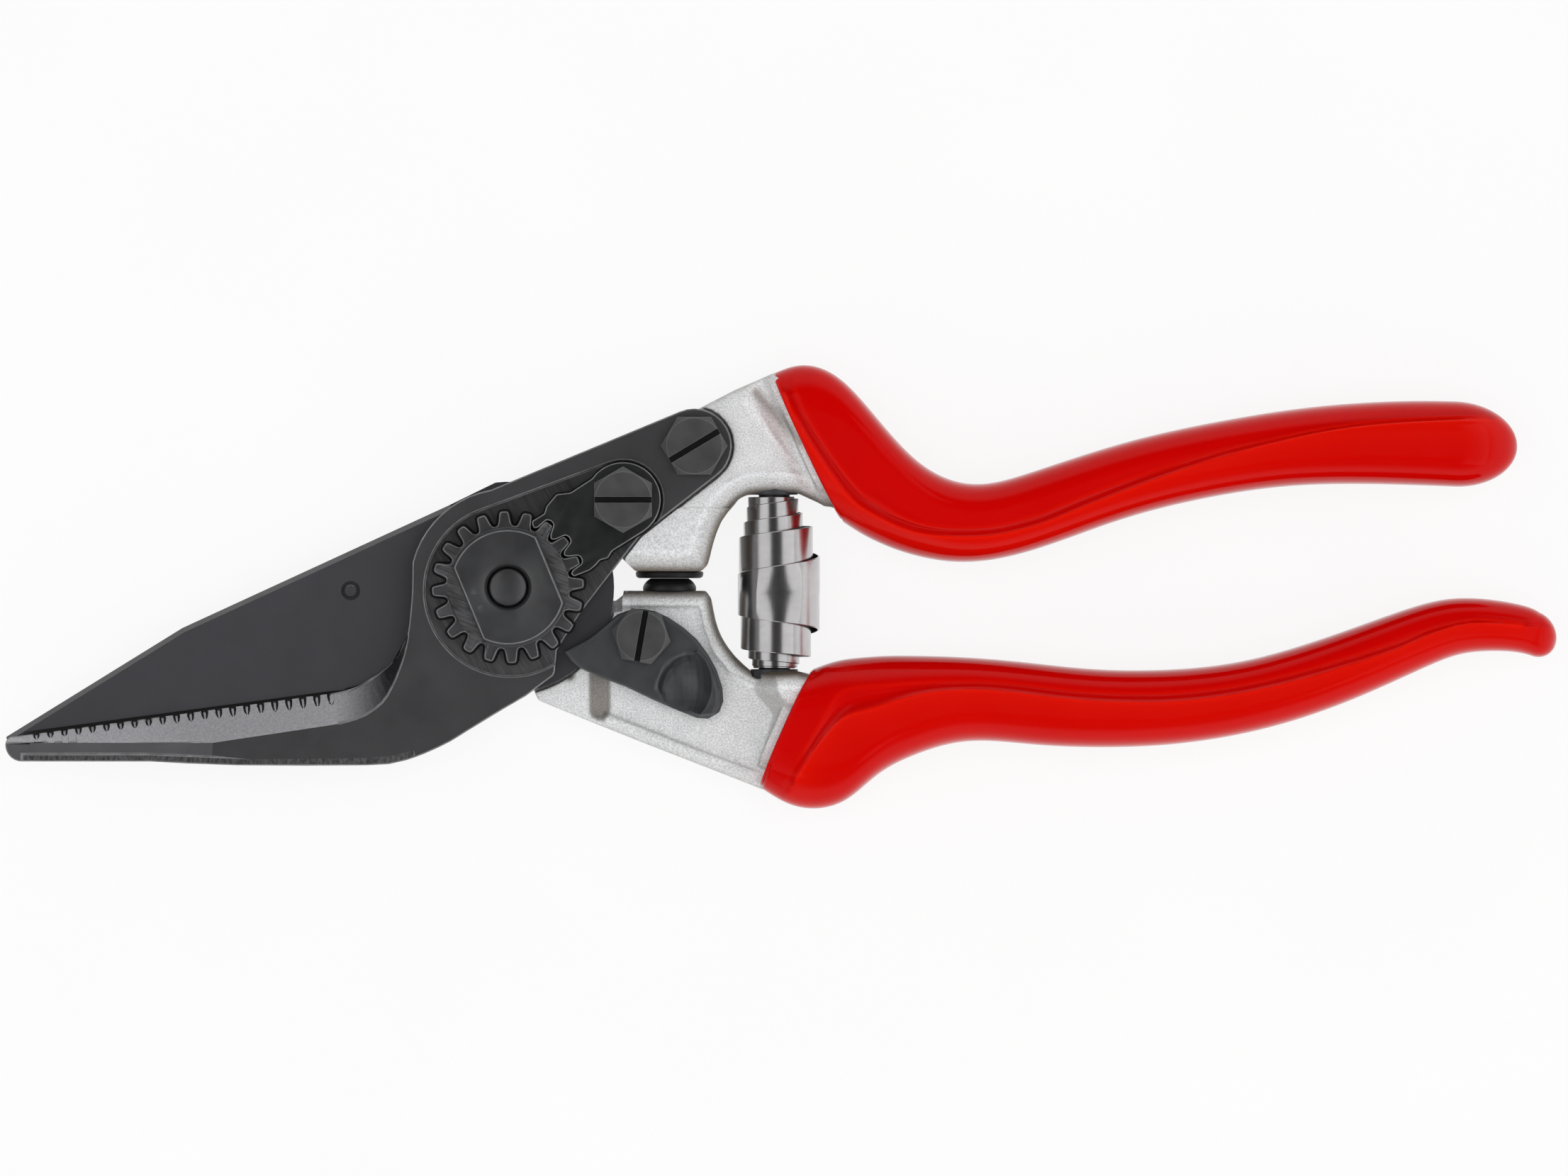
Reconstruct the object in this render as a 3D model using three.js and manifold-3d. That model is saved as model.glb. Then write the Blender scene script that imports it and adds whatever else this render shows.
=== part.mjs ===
// One-hand trimming shears on the body of a pruning shear, in millimetres, +Z up.
// The origin is on the pivot axis, on the face of the bolt head that the shears lie on.
// +X runs to the grips, -X to the jaws, and +Z faces the side with the adjusting nut.
// The jaws are shut. The upper handle carries the serrated counter-blade in front, and the
// lower handle carries the cutting blade behind it, as the crossing levers of such shears do.
import * as THREE from 'three';
import { mergeVertices } from 'three/addons/utils/BufferGeometryUtils.js';
import Module from 'manifold-3d';

const wasm = await Module();
wasm.setup();

// Layers, counted up from the table
const boltHeadHeight = 2.2;
const pivotDiscThickness = 3.8;
const cuttingBladeThickness = 3.2;
const counterBladeThickness = 4;
const runningGap = 0.2;
const fitGap = 0.25;
const seatGap = 0.3;
const overrun = 3;

// Jaws, from the pivot to the tip
const jawReach = 74.3;
const jawDrop = 26.3;
const jawTipThickness = 2.3;
const jawTipRadius = 2.45;
const edgeLand = 0.6;
const serrationPitch = 2.09;
const serrationCount = 22;
const serrationRadius = 0.48;
const serrationLength = 1.6;
const keelBevelWidth = 1.1;
const keelBevelDepth = 0.5;
const spineBevelWidth = 0.7;
const spineBevelDepth = 0.7;
const cuttingBevelWidth = 5;
const cuttingBevelLand = 0.4;
const dimpleRadius = 1.43;
const dimpleDepth = 0.9;

// Pivot
const boltShankRadius = 5;
const boltHeadRadius = 7.5;
const boltEndRadius = 2.65;
const boltFlatDistance = 4;
const bushWall = 1.5;
const bushFlangeHeight = 0.8;
const bushFlangeRadius = 8.2;
const pivotDiscRadius = 15.4;
const discJoinAngle = 80;
const tangRadius = 15.6;
const tangClearance = 0.4;
const rivetRadius = 1.6;
const rivetHeadRadius = 2.6;
const rivetHeadHeight = 0.9;
const rivetDistance = 11.2;
const rivetAngle = 140;
const tangHalfAngle = 97;
const counterBossRadius = 14.6;
const counterBossStartAngle = 100;
const counterBossEndAngle = 165;

// Adjusting nut and its locking segment
const nutTeeth = 20;
const nutTipRadius = 11.3;
const nutToothDepth = 2.2;
const nutThickness = 2.6;
const nutHubRadius = 8.65;
const nutHubHeight = 1.3;
const nutFlatDistance = 6.8;
const nutFlatAngle = 21;
const nutPhaseAngle = 3;
const nutToothSquareness = 1.7;
const nutDishRadius = 7.9;
const nutDishDepth = 0.35;
const nutBoreRadius = 3;
const nutBoreMouthRadius = 3.6;
const pocketDepth = 1;
const pocketMargin = 1.4;
const pocketShiftX = 0.3;
const pocketShiftY = -0.5;
const segmentThickness = 2.6;
const segmentReach = 10.04;
const segmentEndRadius = 5.6;

// Arm of the counter-blade and the two screws on its axis
const armAngle = 37.2;
const screwSpacing = 13.2;
const armEndRadius = 5.5;
const armTopAngle = 13.8;
const screwAcrossFlats = 8.5;
const screwHeadHeight = 2.4;
const screwShankRadius = 2.5;
const armScrewCornerAngle = 0;
const armScrewSlotAngle = 31;
const segmentScrewCornerAngle = 30;
const segmentScrewSlotAngle = 0;
const screwSlotWidth = 0.9;
const screwSlotDepth = 1.1;
const screwEdgeChamfer = 0.4;
const backNutAcrossFlats = 8;
const backNutHeight = 2.4;

// Thumb catch
const catchScrewDistance = 20.97;
const catchScrewAngle = -20.1;
const catchScrewAcrossFlats = 7.6;
const catchScrewCornerAngle = -11;
const catchScrewSlotAngle = 80;
const catchThickness = 2.9;
const catchLength = 24;
const catchWidth = 16.5;
const catchNoseShare = 0.483;
const catchWasherHeight = 0.7;
const catchWasherRadius = 4;
const thumbTabHeight = 2;
const thumbScoopRadius = 6;
const shoulderGap = 0.9;
const shoulderLean = 0.6;
const shoulderInnerDrop = 9.3;
const shoulderOuterDrop = 12.8;

// Forged handles, from the pivot to the front edge of the grips
const collarDistance = 25.7;
const forgingRise = 32.5;
const forgingRim = 1.1;
const forgingCollarHeight = 11.8;
const collarSlope = 3.6;
const armProud = 1.6;
const valleyDepth = 0.9;
const valleyWidth = 2.4;
const upperHollowRadius = 17.2;
const upperHollowStartAngle = 64;
const upperHollowEndAngle = 15;
const floorDepth = 0.6;
const platformDepth = 1.3;
const grooveDepth = 1.1;
const grooveWidth = 1.6;

// Grips
const gripLength = 106.2;
const gripDepth = 17;
const gripWall = 1.6;
const gripLip = 0.9;
const gripFrontBow = 1.2;
const gripRoundness = 2.8;

// Bumper and spring
const bumperPadClearance = 3.4;
const bumperFlangeRadius = 5;
const bumperFlangeHeight = 1;
const bumperTopRadius = 3.2;
const bumperFootRadius = 3.9;
const bumperStemRadius = 2;
const bumperStemLength = 2.6;
const bumperLevel = 6;
const springLevel = 7.7;
const springShare = 0.794;
const springOuterRadius = 6.16;
const springInnerRadius = 3.25;
const springStripThickness = 0.3;
const springStripWidth = 5.6;
const springTurns = 4;
const springStartAngle = 200;
const springMiddleShare = 0.42;
const springSeatProud = 0.3;
const springShift = 0.2;
const springLean = 0.4;
const springSeatRadius = 3.5;
const springSeatHeight = 1.1;
const springPegRadius = 2.3;
const springPegLength = 4;

const discBase = boltHeadHeight + runningGap;
const bladeBase = discBase + pivotDiscThickness;
const bladeTop = bladeBase + cuttingBladeThickness;
const counterBase = bladeTop + runningGap;
const counterTop = counterBase + counterBladeThickness;
const pocketFloor = counterTop - pocketDepth;
const nutTop = pocketFloor + nutThickness;
const floorLevel = bladeTop;
const rimLevel = floorLevel + floorDepth;
const catchBase = floorLevel + catchWasherHeight + fitGap;
const collarTop = discBase + forgingCollarHeight;
const upperFaceLevel = counterTop - armProud;
const gripLevel = gripDepth / 2;
const segmentScrewDistance = nutTipRadius + segmentReach;
const armLength = segmentScrewDistance + screwSpacing;
const bumperReach = pivotDiscRadius + bumperFlangeRadius + bumperPadClearance;
const forgingReach = bumperReach + collarDistance;
const springReach = springShare * forgingReach;

const steelBlack = new THREE.MeshStandardMaterial({ color: 0x3e3e41, roughness: 0.42, metalness: 0.75 });
const steelBlued = new THREE.MeshStandardMaterial({ color: 0x26282b, roughness: 0.32, metalness: 0.8 });
const screwSteel = new THREE.MeshStandardMaterial({ color: 0x3a3a3c, roughness: 0.36, metalness: 0.8 });
const forgedAluminium = new THREE.MeshStandardMaterial({ color: 0xcfd2d5, roughness: 0.45, metalness: 0.85 });
const redVinyl = new THREE.MeshStandardMaterial({ color: 0xca0404, roughness: 0.22, metalness: 0 });
const springSteel = new THREE.MeshStandardMaterial({ color: 0xc4c4c6, roughness: 0.12, metalness: 1 });
const blackRubber = new THREE.MeshStandardMaterial({ color: 0x141414, roughness: 0.7, metalness: 0 });
const bronze = new THREE.MeshStandardMaterial({ color: 0x9a7442, roughness: 0.4, metalness: 0.9 });

const radians = THREE.MathUtils.degToRad;
const degrees = THREE.MathUtils.radToDeg;
const at = (x, y) => new THREE.Vector2(x, y);
const polar = (radius, angle) => at(radius, 0).rotateAround(at(0, 0), radians(angle));

/** Points of an outline given as shares of a length along X and a length along Y. */
function fromShares(shares, alongX, alongY) {
  return shares.map(([u, v]) => at(u * alongX, v * alongY));
}

/** A smooth curve through points, without a repeat of its last point. */
function smooth(points, stepsEach) {
  const curve = new THREE.SplineCurve(points);
  return curve.getPoints((points.length - 1) * stepsEach);
}

/** Points on an arc about a centre, from one angle to another in degrees. */
function arc(centre, radius, from, to, steps) {
  const points = [];
  for (let i = 0; i <= steps; i++) {
    points.push(polar(radius, from + ((to - from) * i) / steps).add(centre));
  }
  return points;
}

/** The points turned about the origin by an angle in degrees. */
function turned(points, angle) {
  return points.map((p) => p.clone().rotateAround(at(0, 0), radians(angle)));
}

/** A manifold solid from a closed geometry, with shared corners and no empty triangles. */
function solid(geometry) {
  const bare = geometry.clone();
  bare.deleteAttribute('normal');
  bare.deleteAttribute('uv');
  const merged = mergeVertices(bare);
  const vertices = merged.attributes.position.array;
  const corners = [];
  for (let i = 0; i < merged.index.count; i += 3) {
    const [a, b, c] = [0, 1, 2].map((k) => merged.index.getX(i + k));
    if (a !== b && b !== c && c !== a) {
      corners.push(a, b, c);
    }
  }
  return new wasm.Manifold(
    new wasm.Mesh({
      numProp: 3,
      vertProperties: new Float32Array(vertices),
      triVerts: new Uint32Array(corners),
    }),
  );
}

/** The faceted geometry of a manifold solid, with flat shading. */
function geometryOf(body) {
  const mesh = body.getMesh();
  const geometry = new THREE.BufferGeometry();
  geometry.setAttribute('position', new THREE.BufferAttribute(new Float32Array(mesh.vertProperties), 3));
  geometry.setIndex(new THREE.BufferAttribute(new Uint32Array(mesh.triVerts), 1));
  geometry.computeVertexNormals();
  return geometry;
}

/** A closed outline drawn in by a distance, each corner mitred. */
function drawnIn(points, distance) {
  const turn = THREE.ShapeUtils.isClockWise(points) ? -1 : 1;
  return points.map((p, k) => {
    const before = points.at(k - 1);
    const after = points[(k + 1) % points.length];
    const one = p.clone().sub(before).normalize();
    const two = after.clone().sub(p).normalize();
    const inward = at(-one.y - two.y, one.x + two.x).multiplyScalar(turn / (1 + one.dot(two)));
    return p.clone().addScaledVector(inward, distance);
  });
}

/** A plate whose outline is drawn in by its own distance at each of its heights. */
function layered(points, levels) {
  const outline = THREE.ShapeUtils.isClockWise(points) ? [...points].reverse() : points;
  const sides = outline.length;
  const place = [];
  for (const [height, inset] of levels) {
    drawnIn(outline, inset).forEach((p) => place.push(p.x, p.y, height));
  }
  const index = [];
  for (let r = 0; r + 1 < levels.length; r++) {
    for (let s = 0; s < sides; s++) {
      const a = r * sides + s;
      const b = r * sides + ((s + 1) % sides);
      index.push(a, b, a + sides, b, b + sides, a + sides);
    }
  }
  const last = (levels.length - 1) * sides;
  for (const [a, b, c] of THREE.ShapeUtils.triangulateShape(outline, [])) {
    index.push(b, a, c, last + a, last + b, last + c);
  }
  const geometry = new THREE.BufferGeometry();
  geometry.setAttribute('position', new THREE.BufferAttribute(new Float32Array(place), 3));
  geometry.setIndex(index);
  return facingOut(geometry);
}

/** A plate of an outline between two heights, its edges rounded by rim. */
function plate(points, low, high, rim = 0) {
  if (rim > 0) {
    const third = rim * 0.3;
    return layered(points, [
      [low, rim], [low + third, third], [low + rim, 0], [high - rim, 0], [high - third, third], [high, rim],
    ]);
  }
  const options = { depth: high - low, bevelEnabled: false };
  const geometry = new THREE.ExtrudeGeometry(new THREE.Shape(points), options);
  geometry.translate(0, 0, low);
  return solid(geometry);
}

/** A solid of revolution about Z from a profile of radius and height pairs. */
function revolved(profile, segments = 40) {
  const geometry = new THREE.LatheGeometry(profile.map(([r, z]) => at(r, z)), segments);
  geometry.rotateX(Math.PI / 2);
  return facingOut(geometry);
}

/** A round rod about Z between two heights. */
function rod(radius, low, high, segments = 40) {
  return revolved([[0, low], [radius, low], [radius, high], [0, high]], segments);
}

/** A rod whose top edge is chamfered. */
function chamferedRod(radius, low, high, chamfer, segments = 40) {
  const edge = [[radius, high - chamfer], [radius - chamfer, high]];
  return revolved([[0, low], [radius, low], ...edge, [0, high]], segments);
}

/** The solid of a geometry, turned inside out if its faces point in. */
function facingOut(geometry) {
  const bare = geometry.index ? geometry : mergeVertices(geometry);
  const place = bare.attributes.position;
  const index = bare.index.array;
  const corner = [new THREE.Vector3(), new THREE.Vector3(), new THREE.Vector3()];
  let volume = 0;
  for (let i = 0; i < index.length; i += 3) {
    corner.forEach((v, k) => v.fromBufferAttribute(place, index[i + k]));
    volume += corner[0].dot(corner[1].clone().cross(corner[2]));
  }
  if (volume < 0) {
    for (let i = 0; i < index.length; i += 3) {
      [index[i + 1], index[i + 2]] = [index[i + 2], index[i + 1]];
    }
  }
  return solid(bare);
}

/** A closed solid through rings that hold the same number of points, with flat end caps. */
function loft(rings) {
  const sides = rings[0].length;
  const place = rings.flat().flatMap((p) => [p.x, p.y, p.z]);
  const index = [];
  for (let r = 0; r + 1 < rings.length; r++) {
    for (let s = 0; s < sides; s++) {
      const a = r * sides + s;
      const b = r * sides + ((s + 1) % sides);
      index.push(a, b, a + sides, b, b + sides, a + sides);
    }
  }
  for (const r of [0, rings.length - 1]) {
    const middle = new THREE.Vector3();
    rings[r].forEach((p) => middle.addScaledVector(p, 1 / sides));
    const centre = place.length / 3;
    place.push(middle.x, middle.y, middle.z);
    for (let s = 0; s < sides; s++) {
      const a = r * sides + s;
      const b = r * sides + ((s + 1) % sides);
      index.push(...(r === 0 ? [b, a, centre] : [a, b, centre]));
    }
  }
  const geometry = new THREE.BufferGeometry();
  geometry.setAttribute('position', new THREE.BufferAttribute(new Float32Array(place), 3));
  geometry.setIndex(index);
  return facingOut(geometry);
}

/** Six corners of a hexagon of a size across its flats, with a corner at the given angle. */
function hexagon(acrossFlats, cornerAngle = 0) {
  const radius = acrossFlats / 2 / Math.cos(radians(30));
  return [0, 1, 2, 3, 4, 5].map((k) => polar(radius, cornerAngle + 60 * k));
}

/** A box between two corners, as a plate. */
function block(low, high) {
  return plate([at(low.x, low.y), at(high.x, low.y), at(high.x, high.y), at(low.x, high.y)], low.z, high.z);
}

/** A named mesh of a solid in one finish. */
function piece(name, body, finish) {
  const mesh = new THREE.Mesh(geometryOf(body), finish);
  mesh.name = name;
  return mesh;
}

const armScrewPlace = polar(armLength, armAngle);
const segmentScrewPlace = polar(segmentScrewDistance, armAngle);
const catchScrewPlace = polar(catchScrewDistance, catchScrewAngle);
const shoulderFace = catchScrewPlace.x - catchNoseShare * catchLength - shoulderGap;

// Jaw outlines, as shares of jawReach and jawDrop
const spineShares = [[-0.649, -0.229], [-0.327, 0.19], [-0.116, 0.464]];
const hiddenEdgeShares = [[-0.995, -0.872], [-0.354, -0.64], [-0.2, -0.63]];
const workingEdgeShares = [
  [-0.191, -0.03], [-0.198, -0.236], [-0.209, -0.337], [-0.237, -0.442], [-0.27, -0.51], [-0.315, -0.575],
  [-0.354, -0.598],
];
const edgeTipShare = -0.842;
const keelShares = [
  [-0.71, -0.979], [-0.54, -1], [-0.28, -1], [-0.222, -0.984], [-0.186, -0.956], [-0.151, -0.916],
  [-0.116, -0.868], [-0.081, -0.807], [-0.01, -0.685], [0.034, -0.613],
];
const bevelFootShares = [
  [-0.991, -0.872], [-0.81, -0.876], [-0.588, -0.871], [-0.452, -0.816], [-0.359, -0.777], [-0.321, -0.753],
  [-0.284, -0.716], [-0.251, -0.648], [-0.233, -0.568], [-0.219, -0.479], [-0.207, -0.379], [-0.199, -0.273],
];
const bevelEdgeShares = [
  [-1, -0.842], [-0.81, -0.768], [-0.588, -0.686], [-0.455, -0.636], [-0.354, -0.598], [-0.325, -0.581],
  [-0.296, -0.551], [-0.268, -0.507], [-0.25, -0.468], [-0.232, -0.427], [-0.213, -0.356], [-0.201, -0.266],
];
const dimpleShares = [-0.314, -0.019];
const keelBevelPoints = 5;
const jawTaperShare = -0.588;

/** Height of the counter-blade's front face at a place along the jaw, thinner towards the tip. */
function jawTopAt(x) {
  const share = THREE.MathUtils.clamp((x / jawReach - jawTaperShare) / (-1 - jawTaperShare), 0, 1);
  return counterTop - share * (counterBladeThickness - jawTipThickness);
}

/** The cutting blade: a tapered jaw with a round tang, ground to its edge from behind. */
function cuttingBlade() {
  const tip = at(-jawReach, edgeTipShare * jawDrop);
  const spine = fromShares(spineShares, jawReach, jawDrop);
  const edge = fromShares(hiddenEdgeShares, jawReach, jawDrop);
  const tang = arc(at(0, 0), tangRadius, -tangHalfAngle, tangHalfAngle, 36);
  const outline = [...tang, ...spine.reverse(), tip, ...edge];
  const bore = rod(boltShankRadius + bushWall + 2 * fitGap, bladeBase - overrun, bladeTop + overrun);
  const grind = loft(
    [edge[0], edge[1], edge[2]].map((p, k, all) => {
      const along = (all[k + 1] ?? p).clone().sub(all[k - 1] ?? p).normalize();
      const out = at(along.y, -along.x);
      const inner = p.clone().addScaledVector(out, -cuttingBevelWidth);
      const outer = p.clone().addScaledVector(out, overrun);
      const shift = k === 0 ? -overrun : 0;
      return [
        new THREE.Vector3(inner.x + shift, inner.y, bladeBase),
        new THREE.Vector3(p.x + shift, p.y, bladeTop - cuttingBevelLand),
        new THREE.Vector3(outer.x + shift, outer.y, bladeTop - cuttingBevelLand),
        new THREE.Vector3(outer.x + shift, outer.y, bladeBase - overrun),
        new THREE.Vector3(inner.x + shift, inner.y, bladeBase - overrun),
      ];
    }),
  );
  const dimple = rod(dimpleRadius, bladeTop - dimpleDepth, bladeTop + overrun, 20).translate([
    dimpleShares[0] * jawReach, dimpleShares[1] * jawDrop, 0,
  ]);
  let blade = plate(outline, bladeBase, bladeTop).subtract(bore).subtract(grind).subtract(dimple);
  const spineLine = [tip, ...fromShares(spineShares, jawReach, jawDrop)];
  blade = blade.subtract(edgeBevel(spineLine, () => bladeTop, spineBevelWidth, spineBevelDepth));
  for (const place of rivetPlaces()) {
    const hole = rod(rivetRadius + fitGap, bladeBase - overrun, bladeTop + overrun, 20);
    blade = blade.subtract(hole.translate([place.x, place.y, 0]));
  }
  return blade;
}

/** The solid above a narrow bevel on the front edge to the left of a line. */
function edgeBevel(line, topAt, width, depth) {
  return loft(
    line.map((p, k) => {
      const along = (line[k + 1] ?? p).clone().sub(line[k - 1] ?? p).normalize();
      const out = at(-along.y, along.x);
      const inner = p.clone().addScaledVector(out, -width);
      const outer = p.clone().addScaledVector(out, overrun);
      const top = topAt(p.x);
      return [
        new THREE.Vector3(inner.x, inner.y, top),
        new THREE.Vector3(p.x, p.y, top - depth),
        new THREE.Vector3(outer.x, outer.y, top - depth),
        new THREE.Vector3(outer.x, outer.y, top + overrun),
        new THREE.Vector3(inner.x, inner.y, top + overrun),
      ];
    }),
  );
}

/** Places of the two rivets that hold the cutting blade on the lower handle's disc. */
function rivetPlaces() {
  return [polar(rivetDistance, rivetAngle), polar(rivetDistance, -rivetAngle)];
}

/** A rivet from the back of the lower handle to just under the blade's face. */
function rivet(place) {
  const body = revolved(
    [
      [0, discBase - rivetHeadHeight], [rivetHeadRadius - rivetHeadHeight, discBase - rivetHeadHeight],
      [rivetHeadRadius, discBase - runningGap / 2], [rivetHeadRadius, discBase], [rivetRadius, discBase],
      [rivetRadius, bladeTop - runningGap], [0, bladeTop - runningGap],
    ],
    20,
  );
  return body.translate([place.x, place.y, 0]);
}

/** Outline of the counter-blade: jaw, boss, catch shoulder and arm. */
function counterOutline() {
  const armLowShares = [[0.176, -1.73], [0.461, -1.24], [0.585, -1.036]];
  const armLow = turned(fromShares(armLowShares, armLength, armEndRadius), armAngle);
  const end = arc(at(armLength, 0), armEndRadius, -90, 90 - armTopAngle, 14);
  const boss = arc(at(0, 0), counterBossRadius, counterBossStartAngle, counterBossEndAngle, 10);
  const keel = smooth(fromShares(keelShares, jawReach, jawDrop), 2);
  const edge = smooth(fromShares(workingEdgeShares, jawReach, jawDrop), 3);
  const tipCentre = at(-jawReach + jawTipRadius, keelShares[0][1] * jawDrop + jawTipRadius);
  return [
    ...keel,
    at(shoulderFace - shoulderLean, -shoulderOuterDrop - shoulderLean / 2),
    at(shoulderFace - shoulderLean / 2, -shoulderOuterDrop + shoulderLean / 2),
    at(shoulderFace, -shoulderInnerDrop),
    ...armLow,
    ...turned(end, armAngle),
    ...boss,
    ...edge,
    at(-jawReach + jawTipRadius / 4, edgeTipShare * jawDrop),
    ...arc(tipCentre, jawTipRadius, 165, 270, 8),
  ];
}

/** The solid above the ground bevel along the counter-blade's working edge. */
function bevelGrind() {
  const edge = smoothPart(fromShares(bevelEdgeShares, jawReach, jawDrop), 3, bevelEdgeShares.length);
  const foot = smoothPart(fromShares(bevelFootShares, jawReach, jawDrop), 3, bevelFootShares.length);
  const sections = edge.map((e, k) => {
    const f = foot[k];
    const out = e.clone().sub(f).normalize().multiplyScalar(overrun);
    const top = jawTopAt(f.x);
    return [
      new THREE.Vector3(f.x, f.y, top),
      new THREE.Vector3(e.x, e.y, counterBase + edgeLand),
      new THREE.Vector3(e.x + out.x, e.y + out.y, counterBase + edgeLand),
      new THREE.Vector3(e.x + out.x, e.y + out.y, counterTop + overrun),
      new THREE.Vector3(f.x, f.y, counterTop + overrun),
    ];
  });
  const first = sections[0].map((p) => p.clone().add(new THREE.Vector3(-overrun, -edgeLand, 0)));
  return loft([first, ...sections]);
}

/** The wedge that thins the counter-blade's jaw towards its tip. */
function jawTaper() {
  const ring = (x) => [
    new THREE.Vector3(x, -2 * jawDrop, jawTopAt(x)),
    new THREE.Vector3(x, jawDrop, jawTopAt(x)),
    new THREE.Vector3(x, jawDrop, counterTop + overrun),
    new THREE.Vector3(x, -2 * jawDrop, counterTop + overrun),
  ];
  return loft([ring(jawTaperShare * jawReach), ring(-jawReach), ring(-jawReach - overrun)]);
}

/** One serration: a round groove that runs out up the bevel from a place on the working edge. */
function serration(place, inward) {
  const foot = fromShares([bevelFootShares[2], bevelEdgeShares[2]], jawReach, jawDrop);
  const bevelWidth = foot[1].distanceTo(foot[0]);
  const bevelSlope = (counterBladeThickness - edgeLand) / bevelWidth;
  const climb = bevelSlope + serrationRadius / serrationLength;
  const section = arc(at(0, 0), serrationRadius, 0, 330, 11);
  return loft(
    [-serrationLength / 2, 2 * serrationLength].map((ahead) =>
      section.map((p) => {
        const q = place.clone().addScaledVector(inward, ahead);
        q.addScaledVector(at(-inward.y, inward.x), p.x);
        return new THREE.Vector3(q.x, q.y, counterBase + edgeLand + climb * ahead + p.y);
      }),
    ),
  );
}

/** All serrations, spaced along the straight working edge back from its heel. */
function serrations() {
  const heel = fromShares([workingEdgeShares.at(-1)], jawReach, jawDrop)[0];
  const tip = at(-jawReach, edgeTipShare * jawDrop);
  const along = tip.clone().sub(heel).normalize();
  const inward = at(-along.y, along.x);
  const cuts = [];
  for (let k = 0; k < serrationCount; k++) {
    cuts.push(serration(heel.clone().addScaledVector(along, serrationPitch * k), inward));
  }
  return wasm.Manifold.union(cuts);
}

/** Outline of the pocket that the nut and the locking segment lie in. */
function pocketOutline() {
  const radius = nutTipRadius + pocketMargin;
  const end = segmentEndRadius + seatGap;
  const lean = degrees(Math.asin((radius - end) / segmentScrewDistance));
  const ring = arc(at(0, 0), radius, 90 - lean, 270 + lean, 40);
  const nose = arc(at(segmentScrewDistance, 0), end, -90 + lean, 90 - lean, 14);
  const shift = at(pocketShiftX, pocketShiftY);
  return [...turned(ring, armAngle).map((p) => p.add(shift)), ...turned(nose, armAngle)];
}

/** The counter-blade: one plate with a ground and serrated edge, a nut pocket and an arm. */
function counterBlade() {
  const boltHole = rod(boltShankRadius + fitGap, counterBase - overrun, counterTop + overrun);
  const flats = block(
    new THREE.Vector3(-boltFlatDistance - fitGap, -2 * boltShankRadius, counterBase - 2 * overrun),
    new THREE.Vector3(boltFlatDistance + fitGap, 2 * boltShankRadius, counterTop + 2 * overrun),
  );
  let blade = plate(counterOutline(), counterBase, counterTop);
  const keelLine = fromShares(keelShares, jawReach, jawDrop).reverse().slice(-keelBevelPoints);
  keelLine.push(at(jawTipRadius - jawReach, keelLine.at(-1).y));
  const keelBevel = edgeBevel(keelLine, jawTopAt, keelBevelWidth, keelBevelDepth);
  blade = blade.subtract(jawTaper()).subtract(bevelGrind()).subtract(serrations()).subtract(keelBevel);
  blade = blade.subtract(plate(pocketOutline(), pocketFloor, counterTop + overrun));
  blade = blade.subtract(boltHole.intersect(flats));
  for (const place of [armScrewPlace, segmentScrewPlace]) {
    const hole = rod(screwShankRadius + fitGap, counterBase - overrun, counterTop + overrun, 24);
    blade = blade.subtract(hole.translate([place.x, place.y, 0]));
  }
  return blade;
}

/** The centre bolt: low head below, bearing shank, two flats in the counter-blade, stub end. */
function centreBolt() {
  const chamfer = boltHeadHeight / 4;
  const head = revolved([
    [0, 0], [boltHeadRadius - chamfer, 0], [boltHeadRadius, chamfer], [boltHeadRadius, boltHeadHeight],
    [boltShankRadius, boltHeadHeight], [boltShankRadius, counterBase], [0, counterBase],
  ]);
  const flats = block(
    new THREE.Vector3(-boltFlatDistance, -2 * boltShankRadius, counterBase - overrun),
    new THREE.Vector3(boltFlatDistance, 2 * boltShankRadius, pocketFloor - seatGap),
  );
  const keyed = rod(boltShankRadius, counterBase - edgeLand, pocketFloor - seatGap).intersect(flats);
  const end = nutTop + nutHubHeight - nutDishDepth;
  const dome = arc(at(0, end - 2 * chamfer), 1, 0, 90, 5).map((p) => [
    boltEndRadius * p.x, end + 2 * chamfer * (p.y - end + 2 * chamfer - 1),
  ]);
  const stub = revolved([[0, counterBase], [boltEndRadius, counterBase], ...dome], 32);
  return head.add(keyed).add(stub);
}

/** The flanged bush that the bolt turns in. */
function pivotBush() {
  const bore = boltShankRadius + fitGap;
  const outer = bore + bushWall;
  return revolved([
    [bore, discBase], [bushFlangeRadius, discBase], [bushFlangeRadius, discBase + bushFlangeHeight],
    [outer, discBase + bushFlangeHeight], [outer, bladeTop], [bore, bladeTop], [bore, discBase],
  ]);
}

/** Radius of the toothed rim at an angle in degrees, widened by a clearance. */
function toothRadius(angle, clearance = 0) {
  const swell = clearance / nutToothDepth;
  const square = nutToothSquareness;
  const wave = Math.tanh(square * (Math.cos(radians(angle * nutTeeth)) + swell)) / Math.tanh(square);
  const middle = nutTipRadius - nutToothDepth / 2;
  return middle + clearance + (nutToothDepth / 2) * wave;
}

/** Outline of the nut's toothed rim, with an optional clearance round it. */
function toothedRim(clearance = 0) {
  const steps = nutTeeth * 6;
  const points = [];
  for (let k = 0; k < steps; k++) {
    const angle = (360 * k) / steps;
    points.push(polar(toothRadius(angle, clearance), angle + nutPhaseAngle));
  }
  return points;
}

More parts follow.
